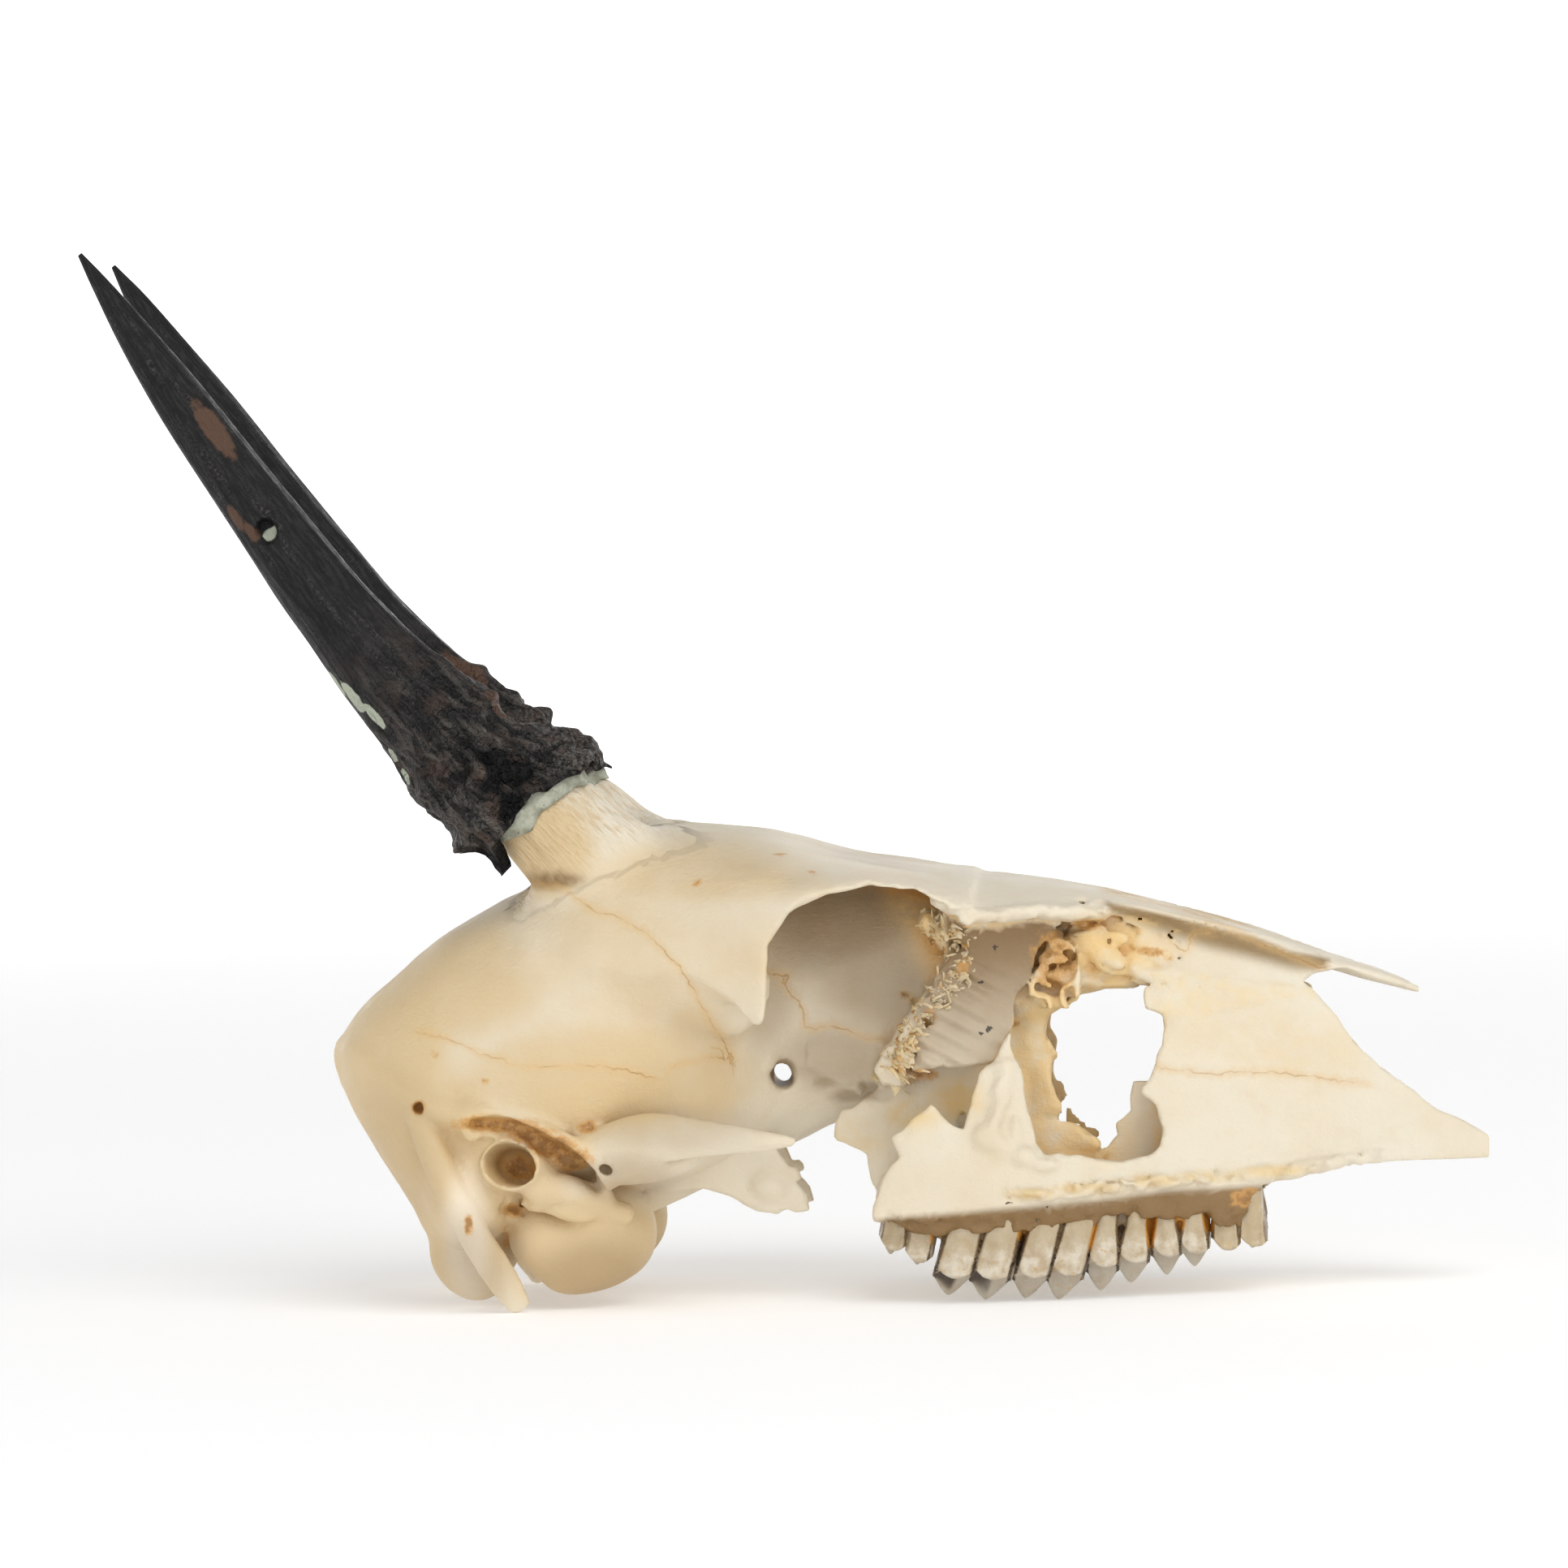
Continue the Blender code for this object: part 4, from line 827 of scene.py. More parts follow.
# The lower rim of the eye socket's wall, which lies over the bone below it
SOCKET_RIM = [
    (2.2, 34.6), (4.5, 33.3), (6.8, 32.0), (8.6, 31.0), (10.5, 30.3), (10.4, 32.1), (12.1, 31.5),
    (13.8, 31.2), (15.0, 32.6), (17.0, 36.0), (12.0, 40.0), (6.0, 40.6), (2.0, 38.0),
]
CHEEK_SHELL = [
    (49.8, 31.6), (49.4, 29.3), (49.6, 27.2), (47.3, 25.4), (47.6, 23.8), (45.2, 21.5), (44.0, 17.0),
    (60.0, 17.0), (60.0, 31.6),
]
# The band under the nasal bone's overhanging edge, where shadow is painted
NASAL_SHADOW_BAND = [
    (46.4, 57.7), (50.6, 56.8), (56.5, 55.2), (62.4, 53.6), (67.8, 52.2), (73.0, 50.0), (78.6, 48.8),
    (77.4, 47.2), (73.6, 46.2), (68.0, 47.6), (61.0, 49.6), (56.5, 51.2), (52.4, 53.2), (48.0, 55.4),
]
BAND_TOP = [(46.4, 58.0), (56.5, 55.4), (67.8, 52.4), (78.6, 48.9)]
BAND_FOOT = [(46.4, 56.2), (52.4, 53.2), (61.0, 49.6), (73.6, 46.2), (78.6, 46.4)]
RIDGE_UNDER = [(11.1, 12.8), (21.4, 13.4), (32.5, 14.1), (46.6, 15.2), (54.0, 16.2), (68.6, 16.7)]
RIDGE_LINE = [
    (31.9, 15.6), (35.4, 15.3), (40.1, 15.7), (49.6, 16.6), (61.5, 17.3), (70.9, 18.0), (78.1, 19.0),
    (85.2, 20.3),
]
STRIP_LINE = [(13.0, 12.4), (28.0, 12.2), (44.0, 13.2), (60.0, 13.8), (70.0, 15.4)]
# The broken edge of the wall inside the cheek, against the light
SEEN_EDGE = [
    (37.6, 43.0), (38.4, 39.6), (37.6, 37.0), (39.0, 34.6), (37.8, 31.3), (39.5, 29.0), (41.2, 26.4),
    (42.6, 24.1), (45.4, 21.3),
]
MEMBRANE = [
    (51.7, 45.3), (52.7, 47.6), (55.7, 48.2), (59.8, 46.9), (65.7, 46.1), (71.6, 45.4), (76.1, 44.4),
    (76.5, 43.5), (72.7, 43.3), (69.2, 42.9), (64.4, 42.0), (59.7, 40.7), (54.9, 41.1), (52.0, 42.3),
]


def near_line(field, window, line):
    """Distance in the side view to a line, for each place of a window."""
    across, up = side_view(*field.coordinates(window))
    away = np.full(np.broadcast(across, up).shape, 99.0, np.float32)
    for start, end in zip(line, line[1:]):
        away = np.minimum(away, np.hypot(*segment(start, end, across, up)[1:]))
    return away


def roughen(field, side, line, inner, outer, width, sizes, seed):
    """Adds noise to whatever surface is near a line, between two distances from the middle."""
    window = field.outline_window(line, width + 3, *sorted((side * inner, side * outer)))
    mask = 1 - ramp(near_line(field, window, line), 0.2 * width, width)
    field.values[window] += mask * field.noise(window, sizes, seed)


def raise_patch(field, side, outline, inner, outer, height, fade):
    """Lifts the surface inside an outline, sharply at the outline's edge below and gently above."""
    window = field.outline_window(outline, 3, *sorted((side * inner, side * outer)))
    across, up = side_view(*field.coordinates(window))
    edge = outline_distance(outline, across, up) + field.noise(window, [(1.8, 0.4), (0.9, 0.3)], 36)
    field.values[window] -= height * (1 - ramp(edge, -0.5, 0.1)) * (1 - ramp(up, *fade))


PLATE_SINK, PLATE_THICKNESS = 2.0, 1.2


def plate_waves(field, window):
    """Low slanting folds on the plate in front of the eye, sharper towards its broken rear edge."""
    x, _, z = field.coordinates(window)
    rear = 1 - ramp(x - (z - 34) * 0.35, 22, 29)
    folds = np.sin((z * 0.8 + x * 0.45) * 2.9) * (0.12 + 0.3 * rear) * (1 - ramp(z, 47, 53))
    return folds + field.noise(window, [(4.0, 0.4), (1.6, 0.2)], 25)


def inlay(field, solid, side):
    """The plate in front of the eye, which follows the solid face's own surface, sunk below it."""
    window, values = field.side_prism(PLATE, side, 6.0, OUT, 0.3, 24, True)
    skin = solid.values[window] + PLATE_SINK + plate_waves(field, window)
    return window, np.maximum(values, np.maximum(skin, -skin - PLATE_THICKNESS))


def build_face(field):
    """The hollow face and the brow with their openings. Gives back the hollow too."""
    xs, halves = face_halves(0.0)
    field.add(field.mesh(lambda bm: add_hull(bm, xs, halves)))
    solid = field.like()
    solid.values = field.values.copy()
    field.add(field.mesh(lambda bm: add_sheet(bm, FRONTAL_SHIELD, SHIELD_THICKNESS)), 1.6)
    hollow = field.like()
    xs, halves = face_halves(FACE_WALL)
    kept = [(x, half) for x, half in zip(xs, halves) if CAVITY_FROM <= x <= CAVITY_TO]
    hollow.add(field.mesh(lambda bm: add_hull(bm, [x for x, _ in kept], [half for _, half in kept])))
    hollow.add(field.prism(NOSE_SEEN, -OUT, OUT, 0.25, 11, True), 0.6)
    window, values = field.prism(NOSE_SEEN, 1.5, OUT, 0.25, 11, True)
    hollow.add((window, values - 0.9), 0.3)
    hollow.add(field.prism(THROAT_OUTLINE, -INNER_WALL_Y, INNER_WALL_Y), 2.0)
    for side in SIDES.values():
        hollow.add(field.tube(mirrored(PALATE_SLIT, side), PALATE_SLIT_SIZES))
    field.cut(hollow.whole(), 0.3)
    inner = INNER_WALL_Y + INNER_WALL_THICKNESS
    for side in SIDES.values():
        field.cut(field.side_prism(ORBIT_OUTLINE, side, -0.5, OUT, 0.12, 21), 0.8)
        field.cut(field.side_prism(PLATE, side, inner, OUT, 0.3, 24, True), 0.2)
        field.add(inlay(field, solid, side), 0.4)
        if side == RIGHT:
            field.cut(field.side_prism(GAP_SEEN, side, inner, OUT, 0.4, 22, True), 0.3)
            field.cut(field.side_prism(CHEEK_SEEN, side, inner, OUT, 0.4, 23, True), 0.3)
            field.add(field.side_prism(CHEEK_SHELL, side, 6.6, 8.2, 0.35, 38, True), 1.0)
        else:
            field.cut(field.side_prism(GAP_OUTLINE, side, inner, OUT, 0.45, 22), 0.3)
            field.cut(field.side_prism(FAR_CHEEK, side, inner, OUT, 0.45, 23), 0.3)
    return hollow, solid


def on_wall(solid, side, line, sink=0.0):
    """A line of the side view laid on the face's outer wall, or this far inside it."""
    return [(x, side * -y, z) for x, y, z in (seen(x, z, sink - wall_reach(solid, x, z)) for x, z in line)]


PILLAR = [(31.4, 34.6), (30.8, 31.0), (29.8, 27.2), (29.0, 24.0), (31.0, 21.4)]
PILLAR_SIZES = [(1.2, 1.2), (1.5, 1.7), (1.4, 1.8), (1.6, 1.9), (2.0, 1.2)]
PILLAR_LINE = [(31.4, 35.0), (30.4, 30.0), (29.2, 25.5)]
# Bumps round the pillar: x and z in the side view, radii
BUMPS = [
    (28.2, 23.8, (2.3, 1.9, 2.3)), (33.5, 20.9, (1.9, 1.6, 1.6)), (30.8, 29.8, (1.2, 1.7, 1.8)),
    (36.4, 19.6, (2.4, 1.2, 0.9)), (32.6, 24.4, (0.9, 1.2, 2.6)),
]


LIP_SIZES = [(0.9, 1.1)] + [(1.1, 1.3)] * 4 + [(1.1, 1.8)] + [(1.3, 2.7)] * 3 + [(0.9, 1.6)]
LIP_RISES = (0.0, 0.8, 1.6)  # the lip hangs from the furthest reach of the wall at these heights above it


def hang_lip(field, solid, side):
    """The torn lip above the plate in front of the eye, and the curl at its end."""
    reaches = [max(wall_reach(solid, x, z + rise) for rise in LIP_RISES) for x, z in LIP_LINE]
    hung = [seen(x, z, 0.9 - reach) for (x, z), reach in zip(LIP_LINE, reaches)]
    field.add(field.tube([(x, side * -y, z) for x, y, z in hung], LIP_SIZES, up=(0.2, side, 0.2)), 0.7)
    curl = on_wall(solid, side, CURL_LINE, 1.2)
    field.add(field.tube(curl, [(1.1, 1.2), (1.2, 1.2), (0.9, 1.0), (0.9, 1.0)], up=(0.2, side, 0.2)), 0.8)
    roughen(field, side, LIP_LINE, 10.0, 26.0, 1.8, [(1.7, 0.7), (0.9, 0.6)], 47)


def break_wall(field, solid, side):
    """The crumbled wall between the eye socket and the plate, and the pillar under it."""
    curtain = at([(x - 0.8, z, 13.4) for x, z in CRUMB_LINE], side)
    field.add(field.tube(curtain, [(1.6, 4.4)] * len(curtain), up=(0, 1, 0)), 1.2)
    roughen(field, side, CRUMB_LINE, 10.5, 24.0, 2.6, [(1.9, 0.8), (1.1, 0.6)], 27)
    raise_patch(field, side, SOCKET_RIM, 6.0, 17.0, 0.9, (36.0, 40.0))
    pillar = on_wall(solid, side, PILLAR, 0.3)
    field.add(field.tube(pillar, PILLAR_SIZES, up=(0, side, 0)), 0.9)
    for x, z, radii in BUMPS:
        field.add(field.ball(on_wall(solid, side, [(x, z)], 0.2)[0], radii), 0.5)
    roughen(field, side, PILLAR_LINE, 14.0, 25.0, 2.6, [(1.6, 0.35), (0.9, 0.2)], 28)


def edge_face(field, solid, side):
    """The rough ridge above the teeth, the strip under it, the nasal bone's edge and the torn skin."""
    ridge = on_wall(solid, side, RIDGE_LINE)
    sizes = [(0.5, 0.5)] + [(1.0, 1.4)] * (len(ridge) - 2) + [(0.4, 0.5)]
    field.add(field.tube(ridge, sizes, up=(0, side, 0)), 0.4)
    roughen(field, side, RIDGE_LINE, 8.0, 26.0, 1.7, [(1.5, 1.2), (0.8, 0.8)], 29)
    roughen(field, side, STRIP_LINE, 8.0, 26.0, 1.4, [(1.3, 0.35), (0.7, 0.3)], 33)
    edge = on_wall(solid, side, BAND_TOP, 0.1)
    field.add(field.tube(edge, [(0.4, 0.4), (0.6, 0.9), (0.6, 0.8), (0.4, 0.4)], up=(0, side, 0.3)), 0.25)
    window, values = field.side_prism(MEMBRANE, side, 4.0, 20.0, 0.2, 30, True)
    creases = np.abs(field.noise(window, [(2.6, 1.0), (1.3, 0.4)], 32))
    skin = solid.values[window] - 0.45 + 0.9 * creases
    field.add((window, np.maximum(values, np.maximum(skin, -skin - 1.4))), 0.5)


FLAKES = 360
FLAKE_PLACES = (-1, -0.35, 0.35, 1)  # points across a flake, as shares of its half width


def add_flake(bm, base, direction, facing, length, width, chance):
    """A torn flake of thin bone, narrowing unevenly to its free end. Gives how far out each point is."""
    across = direction.cross(facing).normalized()
    normal = across.cross(direction).normalized()
    bend, lean, thick = chance.uniform(-0.5, 0.5), chance.uniform(-0.4, 0.4), chance.uniform(0.12, 0.22)
    rings, shares = [], np.linspace(0.0, 1.0, 5)
    for t in shares:
        half = width / 2 * (1 - 0.8 * t**1.5) * chance.uniform(0.7, 1.2)
        centre = base + direction * length * t + normal * bend * length * t * t + across * width * lean * t
        places = [(s, thick * (1 - 0.6 * abs(s)), 0.1 * chance.uniform(-1, 1)) for s in FLAKE_PLACES]
        upper = [centre + across * half * s + normal * (h + rise) for s, h, rise in places]
        lower = [centre + across * half * s + normal * (h + rise - 2 * h) for s, h, rise in places[::-1]]
        rings.append(upper + lower)
    add_rings(bm, rings)
    return np.repeat(shares, len(rings[0]))


def flakes(name, side, field, material):
    """The flaky broken edge between the eye socket and the plate in front of it."""
    chance = np.random.default_rng(26)
    bm, out, tint = bmesh.new(), [], []
    line = spline(CRUMB_LINE, 20)
    for _ in range(FLAKES):
        share = chance.uniform(0.0, 1.0)
        x, z = line[int(share * (len(line) - 1))]
        x, z = x + chance.normal(-0.4, 1.3 - 0.5 * share), z + chance.normal(0, 0.9)
        depth = wall_reach(field, x, z) - 0.4
        if not 7 <= depth <= 30:
            continue
        turn = math.radians(chance.normal(30 - 70 * share, 42))
        direction = Vector((math.cos(turn), side * chance.uniform(0.1, 0.9), math.sin(turn))).normalized()
        facing = Vector((chance.normal(0, 0.6), side, chance.normal(0.3, 0.6))).normalized()
        base = Vector(at([(x, z, depth)], side)[0]) - direction * 0.5
        length, width = chance.uniform(0.9, 2.5), chance.uniform(0.6, 1.7)
        out.append(add_flake(bm, base, direction, facing, length, width, chance))
        tint.append(np.full(len(out[-1]), chance.uniform(0.0, 1.0) ** 1.5))
    obj = link_bmesh(f"{name}_flakes", bm)
    out, tint = np.concatenate(out), np.concatenate(tint)
    give(obj, "amber", tint * (1.1 - 0.7 * out))
    give(obj, "warm", 0.25 + 0 * out)
    give(obj, "yellow", 0.8 - 0.5 * out)
    settle(obj, "cranium", material)


def wall_reach(solid, x, z):
    """How far from the middle the face's outer wall is, at a place of the side view."""
    depths = np.arange(34.0, 4.0, -0.25)
    points = np.array([seen(x, z, -d) for d in depths])
    inside = solid.sample(solid.values, points) < 0
    return depths[inside.argmax()]


def build_braincase(field):
    field.add(field.mesh(lambda bm: add_oval_hull(bm, BRAINCASE)), 3.0)
    field.add(field.mesh(lambda bm: add_oval_hull(bm, ORBIT_BODY)), 2.5)
    base = [(-45.0, 0, 10.6), (-34.0, 0, 13.0), (-22.0, 0, 17.2), (-8.0, 0, 23.4), (6.0, 0, 29.0)]
    field.add(field.tube(base, [(8.5, 3.2), (6.5, 3.5), (5.0, 3.5), (4.0, 3.2), (3.2, 2.2)]), 3.0)
    field.add(field.ball((-46.0, 0, 19.5), (10.0, 23.0, 10.5)), 3.0)
    for side in SIDES.values():
        add_parts(field, side, BRAINCASE_PARTS)
        field.add(field.ball((-46.4, side * 9.6, 9.4), (6.0, 5.4, 7.0), (0, 20 * side, 0)), 1.2)
        add_parts(field, side, OCCIPUT_PARTS)


def build_ear(field, side):
    add_parts(field, side, EAR_PARTS)


def build_arch(field, side):
    add_parts(field, side, ARCH_PARTS)
    field.add(field.side_prism(PTERYGOID, side, 6.4, 8.0, 0.3, 31), 0.8)
    field.add(field.ball(at([(-3.6, 17.1, 8.0)], side)[0], (2.6, 1.3, 1.8), (0, 20, 0)), 1.0)


INNER_WALL_EDGE = [(33.5, 43.0), (35.5, 35.0), (37.5, 27.5), (43.0, 21.5)]


def side_window(field, side, low, high):
    """The window between two corners that are given for the left side."""
    a, b = (np.multiply(corner, (1, side, 1)) for corner in (low, high))
    return field.window(np.minimum(a, b), np.maximum(a, b))


def build_nose(field, side):
    """The thin walls and rolls inside the nose."""
    wall = INNER_WALL_Y + INNER_WALL_THICKNESS
    window, values = field.side_prism(INNER_WALL_OUTLINE, side, INNER_WALL_Y, wall, 0.35, 41)
    field.add((window, values + field.noise(window, [(4.0, 0.5), (1.5, 0.2)], 44, (1.0, 1.0, 0.5))), 0.5)
    roughen(field, side, INNER_WALL_EDGE, 6.0, 13.5, 4.6, [(3.4, 0.7), (1.7, 0.3)], 48)
    roughen(field, side, SEEN_EDGE, 5.0, 13.5, 1.5, [(1.4, 0.5), (0.8, 0.3)], 49)
    add_parts(field, side, ROLL_PARTS)
    fold_rolls(field, side)
    cut_lace(field, side)
    add_parts(field, side, NASAL_TIP)


def fold_rolls(field, side):
    """Folds and grain on the rolled bones."""
    window = side_window(field, side, (39.5, 6.5, 44.5), (57.0, 14.5, 56.0))
    folds = 1 - ramp(np.abs(field.noise(window, [(3.2, 1.0), (1.6, 0.5)], 40, (0.6, 1.0, 1.2))), 0.0, 0.22)
    field.values[window] += 0.7 * folds + field.noise(window, [(1.4, 0.25)], 43)


def cut_lace(field, side):
    """The lace of thin bone at the back of the cheek's opening."""
    window = side_window(field, side, (34.5, 5.0, 43.0), (43.0, 15.0, 54.0))
    lace = np.abs(field.noise(window, [(2.3, 1.0), (1.2, 0.4)], 42)) * 1.6 - 0.34
    x, y, z = field.coordinates(window)
    block = tooth_block(x - 38.8, z - 48.5, 4.0, 5.2, 3.0)
    block = np.maximum(block, np.abs(np.abs(y) - 10.0) - 4.4)
    field.cut((window, block + 0.5), 0.4)
    field.add((window, np.maximum(block, lace)), 0.3)


# The hollow under the cheek's lower edge: x, how far it is out from the tooth row, z
UNDERCUT = [
    (22.0, 4.9, 14.1), (30.0, 4.7, 14.6), (40.0, 4.4, 15.3), (50.0, 3.8, 16.0), (58.0, 3.2, 16.8),
    (66.0, 2.5, 17.2),
]
# The bone that holds the roots: x, half width
SOCKET_BLOCK = [
    (14.2, 4.0), (20.0, 4.6), (31.0, 4.6), (43.0, 4.2), (52.0, 3.7), (57.0, 3.4), (60.6, 3.1), (62.0, 3.0),
    (65.2, 2.8), (66.4, 2.6), (68.3, 2.3),
]


def build_sockets(field, side):
    top = SOCKET_TOP + 1.6
    turns = np.radians(np.arange(0, 360, 15))
    forth, up = (np.sign(f(turns)) * np.abs(f(turns)) ** 0.4 for f in (np.cos, np.sin))
    rings = []
    for x, width in SOCKET_BLOCK:
        gum = between(GUM_LINE, x)
        ys = side * (between(TOOTH_ROW, x) + 0.1 + forth * width)
        zs = (gum + top) / 2 + up * (top - gum) / 2
        rings.append([Vector((x, y, z)) for y, z in zip(ys, zs)])
    field.add(field.mesh(lambda bm: add_rings(bm, rings)), 0.6)
    hollow = [(x, side * (between(TOOTH_ROW, x) + w + 1.6), z) for x, w, z in UNDERCUT]
    field.cut(field.tube(hollow, [(0.5, 0.5)] + [(1.5, 1.1)] * (len(hollow) - 2) + [(0.5, 0.5)]), 0.8)
    gums = [(x, between(GUM_LINE, x) - 1.2) for x in range(14, 70, 6)]
    roughen(field, side, gums, 9.0, 26.0, 2.4, [(1.5, 0.8), (0.8, 0.5)], 45)


# Holes and slits in one side: x and z in the side view, depth, radii
PITS = [
    (-41.2, 14.4, 23.0, (1.9, 2.6, 1.3)), (-54.6, 29.8, 24.0, (0.9, 2.4, 1.0)),
    (-30.1, 26.5, 27.5, (1.5, 2.4, 0.9)), (-27.4, 20.2, 27.0, (1.1, 2.2, 0.8)),
    (-47.8, 12.6, 20.0, (0.6, 4.0, 2.2)), (-12.9, 62.0, 28.4, (0.6, 0.8, 0.5)),
    (-0.6, 65.7, 28.0, (0.6, 1.2, 0.5)), (16.9, 44.9, 10.0, (0.9, 1.2, 0.3)),
    (18.1, 43.8, 10.2, (0.3, 1.2, 0.8)), (-4.8, 24.0, 31.0, (0.4, 0.4, 0.4)),
]


EAR_RECESS = [
    (-46.6, 27.0, 26.6), (-43.2, 27.0, 26.8), (-39.6, 25.9, 26.6), (-36.2, 23.9, 26.0), (-33.0, 21.9, 25.2),
    (-30.1, 19.7, 24.6), (-28.4, 17.4, 24.0),
]
EAR_RECESS_SIZES = [(2.2, 0.9), (3.0, 1.2), (3.4, 1.2), (3.6, 1.5), (3.8, 1.7), (3.4, 1.4), (2.6, 0.8)]
# Rough places round the ear, as roughen takes them
EAR_TEARS = [
    ([(-46.0, 26.6), (-40.0, 25.4), (-33.0, 21.7)], 18.0, 29.0, 2.0, [(1.5, 0.35), (0.8, 0.25)], 33),
    ([(-42.0, 14.6), (-40.6, 14.2)], 14.0, 26.0, 2.2, [(1.4, 0.6), (0.8, 0.4)], 34),
    ([(-41.0, 21.2), (-39.6, 20.2)], 14.0, 24.0, 2.4, [(1.4, 0.8), (0.8, 0.4)], 35),
]
GREAT_HOLE = [(-66.0, 0, 11.0), (-55.0, 0, 15.6), (-44.0, 0, 21.5), (-34.0, 0, 28.0)]
OPTIC_CHANNEL = [
    (1.0, -22.0, 34.4), (-0.7, -8.0, 34.2), (-1.3, 0.0, 34.0), (-1.4, 8.0, 33.9), (0.4, 22.0, 34.4),
]


def cut_openings(field):
    field.cut(field.tube(GREAT_HOLE, [(7.8, 6.8), (8.2, 7.2), (8.8, 8.2), (9.8, 9.4)]), 0.8)
    field.cut(field.tube(OPTIC_CHANNEL, [(3.6, 3.8), (1.7, 1.9), (1.7, 1.9), (1.7, 1.9), (3.6, 3.8)]), 0.8)
    for side in SIDES.values():
        roughen(field, side, [(-2.0, 34.6), (0.6, 34.8)], 2.0, 26.0, 2.6, [(2.4, 0.7)], 46)
    for side in SIDES.values():
        canal = mirrored([(-38.6, 19.0, 22.6), (-39.3, 26.4, 23.5), (-39.9, 30.4, 23.9)], side)
        field.cut(field.tube(canal, [(3.0, 2.4), (3.9, 3.0), (4.3, 3.4)], up=(0.35, 0, 1)), 0.4)
        field.cut(field.tube(at(EAR_RECESS, side), EAR_RECESS_SIZES), 0.8)
        for x, z, depth, radii in PITS:
            field.cut(field.ball(at([(x, z, depth)], side)[0], radii, (0, 20, 0)), 0.3)
        for torn in EAR_TEARS:
            roughen(field, side, *torn)


def cut_roots(field):
    for side, tooth in itertools.product(SIDES.values(), TEETH):
        rings = root_rings(tooth, side)
        field.cut(field.mesh(lambda bm: add_rings(bm, rings)))


def root_rings(tooth, side):
    """The room for a tooth's root, from the top of its socket down to below the gum line."""
    _, back, front, width, _, _ = tooth
    middle, half = (back + front) / 2, (front - back) / 2
    gum = between(GUM_LINE, middle)
    rings = []
    for level, share in ((SOCKET_TOP + ROOT_GAP, 0.62), (gum - 1.2 - 4 * ROOT_GAP, 0.72)):
        half_width = width / 2 * share + ROOT_GAP
        rings.append(block_ring(middle, side, level, half * 0.93 + ROOT_GAP, half_width))
    return rings


def block_ring(middle, side, level, half_length, half_width):
    """A rounded rectangle laid along the tooth row."""
    slope = (between(TOOTH_ROW, middle + 1) - between(TOOTH_ROW, middle - 1)) / 2
    centre_y = between(TOOTH_ROW, middle)
    ring = []
    for turn in np.arange(ROOT_TURNS) / ROOT_TURNS * math.tau:
        along = math.copysign(abs(math.cos(turn)) ** 0.6, math.cos(turn)) * half_length
        across = math.copysign(abs(math.sin(turn)) ** 0.6, math.sin(turn)) * half_width
        ring.append((middle + along, side * (centre_y + slope * along + across), level))
    return ring


def build_core(field, side):
    field.add(field.mesh(lambda bm: add_rings(bm, core_rings(side))), 3.0)


def cranium_field():
    field = Field((-70, -37, -1), (105, 37, 106), BONE_STEP)
    hollow, solid = build_face(field)
    build_braincase(field)
    for side in SIDES.values():
        hang_lip(field, solid, side)
        break_wall(field, solid, side)
        edge_face(field, solid, side)
    for build, side in itertools.product((build_ear, build_arch, build_nose), SIDES.values()):
        build(field, side)
    vomer = [(30.0, 0, 18.6), (45.0, 0, 17.4), (60.0, 0, 18.4), (74.0, 0, 20.0)]
    field.add(field.tube(vomer, [(1.0, 3.4), (0.9, 3.4), (0.9, 3.2), (0.9, 1.6)]), 0.8)
    snout = [(72.0, 0, 20.2), (86.0, 0, 20.8), (99.4, 0, 21.2)]
    field.add(field.tube(snout, [(1.6, 1.3), (1.3, 1.2), (1.5, 1.2)]), 0.8)
    for build, side in itertools.product((build_sockets, build_core), SIDES.values()):
        build(field, side)
    cut_openings(field)
    field.values += field.noise(field.everywhere(), [(9.0, 0.2), (2.6, 0.07)], 51)
    cut_roots(field)
    below = [(-110.0, GROUND), (110.0, GROUND), (110.0, -20.0), (-110.0, -20.0)]
    field.cut(field.prism(below, -OUT, OUT))
    return field, hollow


def loft(name, rows, given):
    """A closed skin through rows of points, with a point in the middle of each end and numbers to store."""
    count, ring = rows.shape[:2]
    points = np.concatenate([rows.reshape(-1, 3), rows[[0, -1]].mean(1)])
    here = np.arange(count * ring).reshape(count, ring)
    after = np.roll(here, -1, 1)
    quads = np.stack([here[:-1], after[:-1], after[1:], here[1:]], -1).reshape(-1, 4).tolist()
    first, last = count * ring, count * ring + 1
    caps = [(first, b, a) for a, b in zip(here[0], after[0])]
    caps += [(last, a, b) for a, b in zip(here[-1], after[-1])]
    obj = link_polygons(name, points, quads + caps)
    face_outwards(obj.data)
    for key, values in given.items():
        flat = values.reshape(count * ring, -1)
        ends = values[[0, -1]].reshape(2, ring, -1).mean(1)
        whole = np.concatenate([flat, ends])
        give(obj, key, whole if whole.shape[1] > 1 else whole[:, 0])
    return obj


HORN_TURNS, HORN_ROWS, HORN_INNER_ROWS = 168, 400, 60
FILLER_TURNS, FILLER_ROWS, FILLER_INNER_ROWS = 140, 26, 14
SHEATH_LENGTH = 103.0  # before its mouth is torn
SHEATH_TOP = 73.0  # how far up its core goes
SHEATH_LIP = 0.9  # how thick a sheath is at its mouth
# Patches of a horn: distance from the tip, angle, half length, half width
BROWN_PATCHES = {
    RIGHT: [(31.7, 64, 5.5, 1.7), (43.7, 131, 2.6, 1.1), (46.5, 120, 2.0, 0.9), (88.0, 20, 3.0, 1.6)],
    LEFT: [(80.0, 40, 5.0, 2.6), (66.0, 70, 4.0, 1.4)],
}
GLUE_PATCHES = {
    RIGHT: [(71.0, 169, 2.8, 1.6), (74.3, 147, 3.4, 1.7), (78.1, 137, 3.0, 1.2), (84.2, 160, 1.4, 1.0),
            (87.8, 159, 1.5, 1.0)],
    LEFT: [(62.4, 70, 1.0, 0.5), (98.0, 60, 2.0, 1.2)],
}
